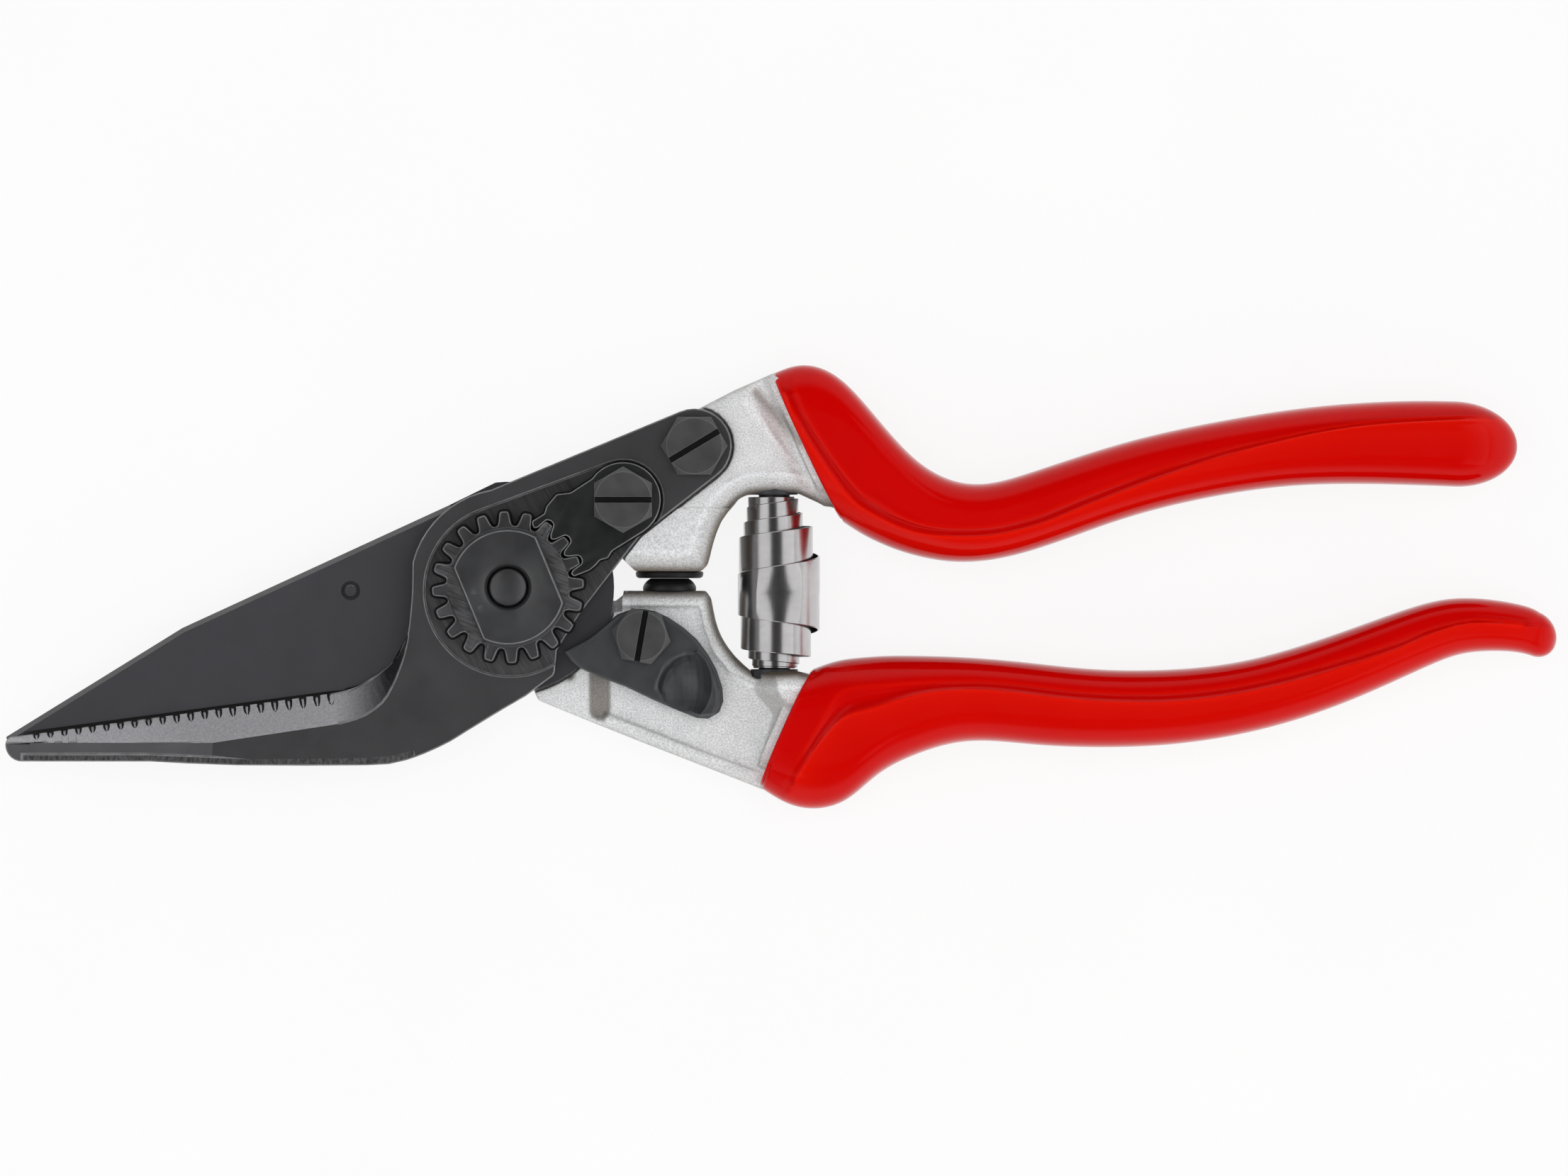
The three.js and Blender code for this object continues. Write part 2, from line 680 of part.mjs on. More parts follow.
/** The adjusting nut: a toothed disc with a hub of two flats, a dished face and a bore. */
function adjustingNut() {
  const rim = 0.12 * nutThickness;
  const disc = layered(toothedRim(), [[pocketFloor, 0], [nutTop - rim, 0], [nutTop, rim]]);
  const hubTop = nutTop + nutHubHeight;
  const flats = block(
    new THREE.Vector3(-nutFlatDistance, -2 * nutHubRadius, nutTop - rim - overrun),
    new THREE.Vector3(nutFlatDistance, 2 * nutHubRadius, hubTop + overrun),
  ).rotate([0, 0, nutFlatAngle]);
  const hub = chamferedRod(nutHubRadius, nutTop - rim, hubTop, rim).intersect(flats);
  const dish = revolved([
    [0, hubTop - nutDishDepth], [nutBoreMouthRadius, hubTop - nutDishDepth], [nutDishRadius, hubTop],
    [nutDishRadius, hubTop + overrun], [0, hubTop + overrun],
  ]);
  const bore = revolved(
    [
      [0, pocketFloor - overrun], [nutBoreRadius, pocketFloor - overrun], [nutBoreRadius, nutTop],
      [nutBoreMouthRadius, hubTop - nutDishDepth], [nutBoreMouthRadius, hubTop + overrun],
      [0, hubTop + overrun],
    ],
    32,
  );
  return disc.add(hub).subtract(dish).subtract(bore);
}

// Outline of the locking segment as shares of segmentScrewDistance: its side towards the nut,
// then the lower tip and the edge that runs up to the lobe round the screw
const segmentShares = [
  [0.43, 0.655], [0.335, 0.645], [0.264, 0.56], [0.25, 0.51], [0.1, 0.42], [0.1, 0.05], [0.4, 0.05],
  [0.567, 0.115], [0.616, 0.157], [0.637, 0.185], [0.694, 0.2], [0.722, 0.248],
];
const segmentLobeStartAngle = -58;
const segmentLobeEndAngle = 146;

/** The locking segment: a lobe round its screw whose inner edge meshes with the nut's teeth. */
function lockingSegment() {
  const side = fromShares(segmentShares, segmentScrewDistance, segmentScrewDistance);
  const lobe = arc(segmentScrewPlace, segmentEndRadius, segmentLobeStartAngle, segmentLobeEndAngle, 18);
  const body = plate([...side, ...lobe], pocketFloor, pocketFloor + segmentThickness);
  const nutSpace = plate(toothedRim(seatGap), pocketFloor - overrun, nutTop + overrun);
  const hole = rod(screwShankRadius + fitGap, pocketFloor - overrun, nutTop + overrun, 24);
  return body.subtract(nutSpace).subtract(hole.translate([segmentScrewPlace.x, segmentScrewPlace.y, 0]));
}

/** A slotted hexagon-head screw standing on its seat at height zero, its shank below. */
function slottedScrew(acrossFlats, shankLength) {
  const corner = acrossFlats / 2 / Math.cos(radians(30));
  const cap = revolved([
    [0, 0], [corner, 0], [corner, screwHeadHeight - screwEdgeChamfer * 1.5],
    [corner - 2 * screwEdgeChamfer, screwHeadHeight], [0, screwHeadHeight],
  ]);
  const head = plate(hexagon(acrossFlats), 0, screwHeadHeight).intersect(cap);
  const slot = block(
    new THREE.Vector3(-acrossFlats, -screwSlotWidth / 2, screwHeadHeight - screwSlotDepth),
    new THREE.Vector3(acrossFlats, screwSlotWidth / 2, screwHeadHeight + overrun),
  );
  return { head, slot, shank: rod(screwShankRadius, -shankLength, screwHeadHeight / 4, 24) };
}

/** A screw turned so that its corners and its slot stand at their own angles. */
function placedScrew(acrossFlats, shankLength, cornerAngle, slotAngle) {
  const { head, slot, shank } = slottedScrew(acrossFlats, shankLength);
  return head.rotate([0, 0, cornerAngle]).subtract(slot.rotate([0, 0, slotAngle])).add(shank);
}

/** A thin hexagon nut with a through hole, its lower face at height zero. */
function backNut() {
  const hole = rod(screwShankRadius + fitGap, -overrun, backNutHeight + overrun, 24);
  return plate(hexagon(backNutAcrossFlats), 0, backNutHeight).subtract(hole);
}

/** The hexagonal pocket and the shank hole that a back nut and its screw need in a handle. */
function backNutSpace(place, top) {
  const outline = hexagon(backNutAcrossFlats + 2 * fitGap);
  const pocket = plate(outline, discBase - overrun, discBase + backNutHeight + fitGap);
  const hole = rod(screwShankRadius + fitGap, discBase - overrun, top + overrun, 24);
  return pocket.add(hole).translate([place.x, place.y, 0]);
}

// Handle outlines, as shares of forgingReach and forgingRise
const upperArchTopShare = 0.43;
const lowerArchBottomShare = -0.382;
const upperArchShares = [
  [0.38, 0.072], [0.575, 0.072], [0.594, 0.1], [0.602, 0.14], [0.612, 0.203], [0.636, 0.3], [0.675, 0.375],
  [0.713, 0.42], [0.86, upperArchTopShare], [0.93, 0.381], [1.005, 0.31],
];
const upperBeyondShares = [[1.06, 0.35], [0.9, 1.02]];
const upperValleyShares = [[0.72, 1.04], [0.955, 0.36]];
const lowerSlopeShares = [
  [0.71, 0.5], [0.71, -0.2], [0.735, -0.48], [0.79, -0.58], [0.73, -0.88], [0.7, -1.05],
];
const upperTopShares = [[0.832, 1], [0.673, 0.894], [0.568, 0.812], [0.5, 0.755]];
const lowerArchShares = [
  [0.34, -0.016], [0.59, -0.016], [0.606, -0.052], [0.618, -0.148], [0.638, -0.231], [0.677, -0.315],
  [0.725, lowerArchBottomShare], [0.865, lowerArchBottomShare], [0.912, -0.37],
];
const lowerBeyondShares = [[1, -0.38], [0.87, -0.98]];
const lowerKeelShares = [[0.757, -0.918], [0.567, -0.805], [0.408, -0.711], [0.249, -0.614], [0.09, -0.515]];
const floorShares = [
  [0.285, -0.085], [0.57, -0.085], [0.585, -0.19], [0.613, -0.3], [0.66, -0.385], [0.76, -0.455],
  [0.83, -0.53], [0.81, -0.66], [0.745, -0.84], [0.567, -0.74], [0.285, -0.57],
];

// Grip stations: the back edge and the finger edge of each, as shares of gripLength beyond the
// front edge and of forgingRise, with the share of gripDepth there
const upperGripShares = [
  [-0.09, 0.985, 0, 0.308, 0.86], [-0.054, 1.017, 0.028, 0.24, 0.93], [-0.012, 0.969, 0.059, 0.189, 0.98],
  [0.026, 0.852, 0.088, 0.155, 1], [0.064, 0.705, 0.116, 0.132, 1], [0.105, 0.569, 0.146, 0.117, 0.99],
  [0.151, 0.486, 0.18, 0.115, 0.97], [0.202, 0.471, 0.221, 0.132, 0.95], [0.264, 0.526, 0.282, 0.186, 0.94],
  [0.344, 0.612, 0.367, 0.286, 0.94], [0.438, 0.698, 0.457, 0.372, 0.95], [0.551, 0.772, 0.565, 0.44, 0.96],
  [0.664, 0.825, 0.669, 0.469, 0.97], [0.777, 0.848, 0.777, 0.466, 0.95], [0.852, 0.846, 0.852, 0.457, 0.9],
];
const lowerGripShares = [
  [-0.042, -0.372, -0.114, -0.902, 0.86], [-0.009, -0.334, -0.078, -0.983, 0.92],
  [0.024, -0.32, -0.038, -1.009, 0.97], [0.056, -0.312, 0.007, -0.965, 1],
  [0.094, -0.311, 0.05, -0.846, 1], [0.137, -0.314, 0.104, -0.757, 0.99],
  [0.188, -0.322, 0.174, -0.698, 0.97], [0.259, -0.343, 0.259, -0.715, 0.95],
  [0.344, -0.372, 0.348, -0.729, 0.94], [0.438, -0.377, 0.452, -0.718, 0.94],
  [0.532, -0.351, 0.565, -0.662, 0.94], [0.621, -0.283, 0.669, -0.563, 0.93],
  [0.716, -0.178, 0.758, -0.443, 0.9], [0.796, -0.086, 0.829, -0.338, 0.86],
  [0.866, -0.046, 0.876, -0.295, 0.8], [0.942, -0.077, 0.927, -0.292, 0.72],
  [0.97, -0.115, 0.956, -0.31, 0.64],
];
const upperGripEnd = 9.2;
const lowerGripEnd = 3.4;

/** Grip stations in millimetres, smoothed between the given ones. */
function gripStations(shares, stepsEach) {
  const along = (column, scale, start) => shares.map((row) => start + row[column] * scale);
  const back = new THREE.CatmullRomCurve3(
    along(0, gripLength, forgingReach).map((x, k) => new THREE.Vector3(x, along(1, forgingRise, 0)[k], 0)),
  );
  const finger = new THREE.CatmullRomCurve3(
    along(2, gripLength, forgingReach).map((x, k) => new THREE.Vector3(x, along(3, forgingRise, 0)[k], 0)),
  );
  const stations = [];
  const steps = (shares.length - 1) * stepsEach;
  for (let k = 0; k <= steps; k++) {
    const t = (k / steps) * (shares.length - 1);
    const low = Math.min(Math.floor(t), shares.length - 2);
    const half = (THREE.MathUtils.lerp(shares[low][4], shares[low + 1][4], t - low) * gripDepth) / 2;
    stations.push({ back: back.getPoint(k / steps), finger: finger.getPoint(k / steps), half, t });
  }
  return stations;
}

/** One rounded section of a grip, drawn in by an inset, moved along, and of its own half height. */
function gripRing(station, inset, sides, forward = new THREE.Vector3(), half = station.half - inset) {
  const middle = station.back.clone().add(station.finger).multiplyScalar(0.5);
  const across = station.back.clone().sub(middle);
  const reach = across.length() - inset;
  across.normalize();
  const front = new THREE.Vector3(across.y, -across.x, 0);
  const bow = gripFrontBow * Math.max(0, 1 - station.t / 2);
  const ring = [];
  for (let s = 0; s < sides; s++) {
    const c = Math.cos((2 * Math.PI * s) / sides);
    const d = Math.sin((2 * Math.PI * s) / sides);
    const u = Math.sign(c) * Math.abs(c) ** (2 / gripRoundness) * reach;
    const v = Math.sign(d) * Math.abs(d) ** (2 / gripRoundness) * half;
    const ahead = bow * Math.min(1, Math.abs(v / station.half) ** gripRoundness);
    const point = middle.clone().addScaledVector(across, u).addScaledVector(front, -ahead);
    ring.push(point.setZ(gripLevel + v).add(forward));
  }
  return ring;
}

/** Rings that close a grip's rear end as a dome of the given length. */
function domeRings(station, previous, length, inset, sides) {
  const middleOf = (s) => s.back.clone().add(s.finger).multiplyScalar(0.5);
  const forward = middleOf(station).sub(middleOf(previous)).normalize();
  const rings = [];
  for (const turn of [22, 42, 60, 75, 86]) {
    const ahead = forward.clone().multiplyScalar(length * Math.sin(radians(turn)));
    const ring = gripRing(station, inset, sides, ahead);
    const middle = new THREE.Vector3();
    ring.forEach((p) => middle.addScaledVector(p, 1 / sides));
    rings.push(ring.map((p) => p.sub(middle).multiplyScalar(Math.cos(radians(turn))).add(middle)));
  }
  return rings;
}

/** A moulded grip: a lofted sleeve with a rounded lip, a domed end and a blind socket. */
function grip(shares, endLength) {
  const sides = 20;
  const stations = gripStations(shares, 2);
  const front = new THREE.Vector3().subVectors(stations[1].back, stations[0].back).normalize();
  const lipRings = [
    gripRing(stations[0], gripLip, sides),
    gripRing(stations[0], gripLip * 0.3, sides, front.clone().multiplyScalar(gripLip * 0.3)),
    gripRing(stations[0], 0, sides, front.clone().multiplyScalar(gripLip)),
  ];
  const last = stations.length - 1;
  const skin = loft([
    ...lipRings,
    ...stations.slice(1).map((s) => gripRing(s, 0, sides)),
    ...domeRings(stations[last], stations[last - 1], endLength, 0, sides),
  ]);
  return skin.subtract(gripCore(shares, gripWall, overrun));
}

/** The tapering core inside a grip, from ahead of its front edge to short of its end. */
function gripCore(shares, inset, ahead) {
  const stations = gripStations(shares, 1);
  const sides = 16;
  const first = gripRing(stations[0], inset + gripLip, sides);
  const towards = new THREE.Vector3(-1, 0, 0).multiplyScalar(ahead);
  const lead = first.map((p) => p.clone().add(towards));
  return loft([lead, ...stations.slice(0, -2).map((s, k) => (k === 0 ? first : gripRing(s, inset, sides)))]);
}

/** The space that a handle leaves free ahead of a grip's front edge. */
function gripSpace(shares) {
  const stations = gripStations(shares, 1).slice(0, 4);
  const gap = new THREE.Vector3(-seatGap, 0, 0);
  return loft(stations.map((s) => gripRing(s, -overrun, 32, gap, s.half + overrun)));
}

/** The space over a slope that rises along X from a line on a handle to the collar's top. */
function slopeSpace(line, low) {
  return loft(
    line.map((p) => [
      new THREE.Vector3(p.x - forgingReach, p.y, low),
      new THREE.Vector3(p.x, p.y, low),
      new THREE.Vector3(p.x + collarSlope, p.y, collarTop),
      new THREE.Vector3(p.x + collarSlope, p.y, collarTop + overrun),
      new THREE.Vector3(p.x - forgingReach, p.y, collarTop + overrun),
    ]),
  );
}

/** The rounded valley in the upper forging, just ahead of the slope to its collar. */
function valleySpace(line, face) {
  const [one, two] = [line[0], line.at(-1)];
  const along = two.clone().sub(one).normalize();
  const across = at(along.y, -along.x);
  return loft(
    [one.clone().addScaledVector(along, -overrun), two.clone().addScaledVector(along, overrun)].map((p) =>
      [-1, -0.5, 0, 0.5, 1, 1, -1].map((u, k) => {
        const depth = k < 5 ? -valleyDepth * (1 - u * u) : overrun;
        const q = p.clone().addScaledVector(across, u * valleyWidth);
        return new THREE.Vector3(q.x, q.y, face + depth);
      }),
    ),
  );
}

/** The upper forging: plate under the arm, bumper pad, spring arch and core of the grip. */
function upperHandle() {
  const arch = smoothPart(fromShares(upperArchShares, forgingReach, forgingRise), 2, 9);
  const beyond = fromShares(upperBeyondShares, forgingReach, forgingRise);
  const top = fromShares(upperTopShares, forgingReach, forgingRise);
  const hollow = arc(at(0, 0), upperHollowRadius, upperHollowStartAngle, upperHollowEndAngle, 12);
  const outline = [...arch, ...beyond, ...top, ...hollow];
  const valley = fromShares(upperValleyShares, forgingReach, forgingRise);
  const slope = slopeSpace(valley, upperFaceLevel - valleyDepth);
  const raised = plate(outline, discBase, collarTop, forgingRim).subtract(slope);
  const armSpace = plate(drawnIn(counterOutline(), -seatGap), counterBase, counterTop + overrun);
  let body = plate(outline, discBase, upperFaceLevel, forgingRim);
  body = body.subtract(valleySpace(valley, upperFaceLevel)).add(raised);
  body = body.subtract(armSpace).subtract(gripSpace(upperGripShares));
  body = body.add(gripCore(upperGripShares, gripWall + seatGap, 2 * gripLip));
  for (const place of [armScrewPlace, segmentScrewPlace]) {
    body = body.subtract(backNutSpace(place, counterBase));
  }
  return body.subtract(springSeatSpace(1)).subtract(bumperStemSpace(upperPadLevel, 1));
}

/** Outline points of which one stretch is smoothed. */
function smoothPart(points, from, to) {
  return [...points.slice(0, from), ...smooth(points.slice(from, to), 2), ...points.slice(to)];
}

const springTop = upperArchTopShare * forgingRise - springSeatProud;
const springBottom = lowerArchBottomShare * forgingRise + springSeatProud;
const springMiddle = THREE.MathUtils.lerp(springBottom, springTop, springMiddleShare);
const upperPadLevel = upperArchShares[0][1] * forgingRise;
const lowerPadLevel = lowerArchShares[0][1] * forgingRise;
const bumperHeight = upperPadLevel - bumperFlangeHeight - runningGap - lowerPadLevel;

/** The lower forging: pivot disc, seat of the cutting blade, catch floor and core of the grip. */
function lowerHandle() {
  const arch = smoothPart(fromShares(lowerArchShares, forgingReach, forgingRise), 2, 7);
  const beyond = fromShares(lowerBeyondShares, forgingReach, forgingRise);
  const keel = fromShares(lowerKeelShares, forgingReach, forgingRise);
  const round = arc(at(0, 0), pivotDiscRadius - overrun, 0, -discJoinAngle, 12);
  const outline = [...arch.reverse(), ...round, ...keel.reverse(), ...beyond.reverse()];
  const disc = rod(pivotDiscRadius, discBase, bladeBase, 48);
  const body = plate(outline, discBase, rimLevel, forgingRim);
  const tangSpace = rod(tangRadius + tangClearance, bladeBase, rimLevel + overrun, 72);
  const floor = plate(fromShares(floorShares, forgingReach, forgingRise), floorLevel, rimLevel + overrun);
  const stepX = floorShares[0][0] * forgingReach;
  const platform = block(
    new THREE.Vector3(-forgingReach, -forgingRise, bladeTop - platformDepth),
    new THREE.Vector3(stepX, 0, rimLevel + overrun),
  );
  const groove = block(
    new THREE.Vector3(stepX - grooveWidth, -forgingRise, bladeTop - platformDepth - grooveDepth),
    new THREE.Vector3(stepX, 0, rimLevel + overrun),
  );
  const slope = fromShares(lowerSlopeShares, forgingReach, forgingRise);
  const overSlope = slopeSpace(slope, rimLevel - floorDepth);
  const raised = plate(outline, discBase, collarTop, forgingRim).subtract(overSlope);
  let handle = body.subtract(floor).subtract(platform).subtract(groove).add(disc).add(raised);
  handle = handle.subtract(tangSpace).subtract(gripSpace(lowerGripShares));
  handle = handle.add(gripCore(lowerGripShares, gripWall + seatGap, 2 * gripLip));
  const outer = boltShankRadius + bushWall + 2 * fitGap;
  const flangeTop = discBase + bushFlangeHeight + fitGap;
  const bushSpace = revolved([
    [0, discBase - overrun], [bushFlangeRadius + fitGap, discBase - overrun],
    [bushFlangeRadius + fitGap, flangeTop], [outer, flangeTop], [outer, bladeTop], [0, bladeTop],
  ]);
  handle = handle.subtract(bushSpace).subtract(backNutSpace(catchScrewPlace, floorLevel));
  for (const place of rivetPlaces()) {
    const hole = rod(rivetRadius + fitGap, discBase - overrun, bladeTop, 20);
    handle = handle.subtract(hole.translate([place.x, place.y, 0]));
  }
  return handle.subtract(springSeatSpace(-1)).subtract(bumperStemSpace(lowerPadLevel, -1));
}

/** The round recess of a spring seat in a handle, above or below the spring. */
function springSeatSpace(side) {
  const edge = side > 0 ? springTop : -springBottom;
  const bottom = edge + springSeatHeight + fitGap;
  const recess = rod(springSeatRadius + fitGap, edge - springSeatHeight, bottom, 32);
  return alongY(recess, side).translate([springReach, 0, springLevel]);
}

/** A solid about Z turned so that its axis runs along Y, up or down. */
function alongY(body, side) {
  return body.rotate([side > 0 ? -90 : 90, 0, 0]);
}

/** The hole of a bumper's stem in a handle's pad. */
function bumperStemSpace(level, side) {
  const start = side * level;
  const hole = rod(bumperStemRadius + fitGap, start - overrun, start + bumperStemLength + seatGap, 24);
  return alongY(hole, side).translate([bumperReach, 0, bumperLevel]);
}

/** A spring seat: a disc in the handle with a peg up the inside of the spring. */
function springSeat() {
  const pegChamfer = springPegRadius / 4;
  return revolved(
    [
      [0, -springPegLength], [springPegRadius - pegChamfer, -springPegLength],
      [springPegRadius, -springPegLength + pegChamfer], [springPegRadius, 0], [springSeatRadius, 0],
      [springSeatRadius, springSeatHeight], [0, springSeatHeight],
    ],
    32,
  );
}

/** The flange under the upper pad, with the stem that holds it in the handle. */
function bumperFlange() {
  const round = bumperFlangeHeight / 3;
  return revolved(
    [
      [0, -bumperFlangeHeight], [bumperFlangeRadius - round, -bumperFlangeHeight],
      [bumperFlangeRadius, -bumperFlangeHeight + round], [bumperFlangeRadius, 0], [bumperStemRadius, 0],
      [bumperStemRadius, bumperStemLength], [0, bumperStemLength],
    ],
    32,
  );
}

/** The rubber bumper on the lower pad: a dome on a foot, with its stem below. */
function bumper() {
  const round = bumperHeight / 5;
  return revolved(
    [
      [0, -bumperStemLength], [bumperStemRadius, -bumperStemLength], [bumperStemRadius, 0],
      [bumperFootRadius, 0], [bumperFootRadius, round], [bumperTopRadius, bumperHeight - round],
      [bumperTopRadius - round, bumperHeight], [0, bumperHeight],
    ],
    32,
  );
}

// Edge heights of the spring strip after each half turn inward, as shares of the way from the
// outermost band to the seat
const springRiseShares = [0, 0.21, 0.46, 0.61, 0.65, 0.78, 0.83, 0.95, 1];

/** Centre line of the spring strip at a share of its winding, from its outermost end inward. */
function springPlace(share) {
  const radius = THREE.MathUtils.lerp(springOuterRadius, springInnerRadius, share) - springStripThickness / 2;
  const angle = springStartAngle - 360 * springTurns * share;
  return { radius, angle, lean: springShift + springLean * (1 - share) };
}

/** One leg of the volute: a flat strip that winds inward while it climbs to its seat. */
function springLeg(side) {
  const steps = springTurns * 24;
  const seat = side > 0 ? springTop - springMiddle - seatGap : springMiddle - springBottom - seatGap;
  const start = springStripWidth / 2;
  const rings = [];
  for (let k = 0; k <= steps; k++) {
    const share = k / steps;
    const { radius, angle, lean } = springPlace(share);
    const t = share * (springRiseShares.length - 1);
    const low = Math.min(Math.floor(t), springRiseShares.length - 2);
    const rise = THREE.MathUtils.lerp(springRiseShares[low], springRiseShares[low + 1], t - low);
    const outer = start + rise * (seat - start);
    const inner = outer - springStripWidth;
    const half = springStripThickness / 2;
    rings.push([
      [radius - half, inner], [radius + half, inner], [radius + half, outer], [radius - half, outer],
    ].map(([r, h]) => {
      const p = polar(r, angle);
      return new THREE.Vector3(p.x + lean, side * h, p.y);
    }));
  }
  return loft(rings);
}

/** The volute spring: two mirrored legs that share their outermost band. */
function voluteSpring() {
  return springLeg(1).add(springLeg(-1));
}

/** The least gap between neighbouring windings, measured on points along the strip. */
function springLeastGap() {
  const samples = springTurns * 60;
  const places = [];
  for (let k = 0; k <= samples; k++) {
    const { radius, angle, lean } = springPlace(k / samples);
    places.push(polar(radius, angle).add(at(lean, 0)));
  }
  const perTurn = samples / springTurns;
  let least = Infinity;
  for (let a = 0; a <= samples; a++) {
    for (let b = a + Math.round(perTurn / 2); b <= samples; b++) {
      least = Math.min(least, places[a].distanceTo(places[b]));
    }
  }
  return least - springStripThickness;
}

// Outline of the thumb catch about its screw, as shares of catchLength and catchWidth
const catchShares = [
  [-catchNoseShare, -0.137], [-0.404, -0.079], [-0.324, -0.018], [-0.219, 0.104], [-0.15, 0.193],
  [-0.08, 0.231], [-0.01, 0.243], [0.078, 0.225], [0.165, 0.167], [0.252, 0.084], [0.34, -0.028],
  [0.41, -0.163],
  [0.462, -0.302], [0.497, -0.455], [0.505, -0.582], [0.479, -0.683], [0.41, -0.742], [0.34, -0.734],
  [0.217, -0.663], [0.078, -0.576], [-0.097, -0.455], [-0.272, -0.359], [-0.376, -0.29], [-0.44, -0.214],
];
const thumbTabShares = [
  [0.275, -0.157], [0.346, -0.127], [0.4, -0.205], [0.45, -0.351], [0.48, -0.502], [0.48, -0.624],
  [0.442, -0.702], [0.367, -0.715], [0.284, -0.666], [0.23, -0.563], [0.192, -0.412], [0.217, -0.266],
];
const scoopShares = [0.246, -0.43, 0.62];
const scoopSquashShares = [0.8, 1, 0.9];

/** The thumb catch about its screw: nose, boss and a raised tab with a scoop for the thumb. */
function thumbCatch() {
  const rim = catchThickness / 6;
  const top = catchBase + catchThickness;
  const body = plate(fromShares(catchShares, catchLength, catchWidth), catchBase, top, rim);
  const tabTop = top + thumbTabHeight;
  const tabOutline = fromShares(thumbTabShares, catchLength, catchWidth);
  const tab = plate(tabOutline, catchBase + rim, tabTop, thumbTabHeight / 4);
  const scoop = solid(new THREE.SphereGeometry(thumbScoopRadius, 24, 16)).scale(scoopSquashShares);
  const [across, up, rise] = scoopShares;
  const centre = [across * catchLength, up * catchWidth, top + rise * thumbScoopRadius];
  const hole = rod(screwShankRadius + fitGap, catchBase - overrun, tabTop + overrun, 24);
  return body.add(tab).subtract(scoop.translate(centre)).subtract(hole);
}

/** The washer between the lower handle's floor and the catch. */
function catchWasher() {
  const bore = screwShankRadius + fitGap;
  const low = floorLevel;
  const high = floorLevel + catchWasherHeight;
  const rim = [[catchWasherRadius, low], [catchWasherRadius, high]];
  return revolved([[bore, low], ...rim, [bore, high], [bore, low]], 32);
}

/** Adds a mesh to a group at a place. */
function put(group, mesh, x = 0, y = 0, z = 0) {
  mesh.position.set(x, y, z);
  group.add(mesh);
  return mesh;
}

const shears = new THREE.Group();
const lowerSide = new THREE.Group();
const upperSide = new THREE.Group();
const catchSide = new THREE.Group();
shears.add(lowerSide, upperSide, catchSide);

put(lowerSide, piece('lower_handle', lowerHandle(), forgedAluminium));
put(lowerSide, piece('lower_grip', grip(lowerGripShares, lowerGripEnd), redVinyl));
put(lowerSide, piece('cutting_blade', cuttingBlade(), steelBlack));
put(lowerSide, piece('pivot_bush', pivotBush(), bronze));
rivetPlaces().forEach((place, k) => {
  put(lowerSide, piece(['upper_blade_rivet', 'lower_blade_rivet'][k], rivet(place), steelBlued));
});
const bumperMesh = piece('bumper', alongY(bumper(), 1), blackRubber);
put(lowerSide, bumperMesh, bumperReach, lowerPadLevel, bumperLevel);
const lowerSeat = piece('lower_spring_seat', alongY(springSeat(), -1), steelBlued);
put(lowerSide, lowerSeat, springReach, springBottom, springLevel);
const springMesh = piece('volute_spring', voluteSpring(), springSteel);
put(lowerSide, springMesh, springReach, springMiddle, springLevel);
put(lowerSide, piece('catch_washer', catchWasher(), steelBlued), catchScrewPlace.x, catchScrewPlace.y);

/** Adds a slotted screw on its seat, and the nut in the back of the handle, to a group. */
function fasten(group, name, place, seat, acrossFlats, cornerAngle, slotAngle) {
  const screw = placedScrew(acrossFlats, seat - discBase, cornerAngle, slotAngle);
  put(group, piece(`${name}_screw`, screw, screwSteel), place.x, place.y, seat);
  put(group, piece(`${name}_nut`, backNut(), steelBlued), place.x, place.y, discBase);
}

const catchSeat = catchBase + catchThickness + fitGap;
fasten(
  lowerSide, 'catch', catchScrewPlace, catchSeat,
  catchScrewAcrossFlats, catchScrewCornerAngle, catchScrewSlotAngle,
);

put(upperSide, piece('upper_handle', upperHandle(), forgedAluminium));
put(upperSide, piece('upper_grip', grip(upperGripShares, upperGripEnd), redVinyl));
put(upperSide, piece('counter_blade', counterBlade(), steelBlack));
put(upperSide, piece('centre_bolt', centreBolt(), steelBlued));
put(upperSide, piece('adjusting_nut', adjustingNut(), steelBlued));
put(upperSide, piece('locking_segment', lockingSegment(), steelBlued));
const segmentSeat = pocketFloor + segmentThickness;
fasten(
  upperSide, 'segment', segmentScrewPlace, segmentSeat,
  screwAcrossFlats, segmentScrewCornerAngle, segmentScrewSlotAngle,
);
fasten(
  upperSide, 'arm', armScrewPlace, counterTop,
  screwAcrossFlats, armScrewCornerAngle, armScrewSlotAngle,
);
const flangeMesh = piece('bumper_flange', alongY(bumperFlange(), 1), blackRubber);
put(upperSide, flangeMesh, bumperReach, upperPadLevel, bumperLevel);
const upperSeat = piece('upper_spring_seat', alongY(springSeat(), 1), steelBlued);
put(upperSide, upperSeat, springReach, springTop, springLevel);

catchSide.position.set(catchScrewPlace.x, catchScrewPlace.y, 0);
put(catchSide, piece('thumb_catch', thumbCatch(), steelBlued));

console.log(`least gap between the windings of the volute spring: ${springLeastGap().toFixed(3)} mm`);

export default shears;
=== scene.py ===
"""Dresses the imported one-hand trimming shears: fine forms, finishes, soft light and camera."""

import enum
import logging
import math
from collections.abc import Callable, Sequence
from dataclasses import dataclass

import bmesh
import bpy
import numpy as np
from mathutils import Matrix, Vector
from mathutils.bvhtree import BVHTree


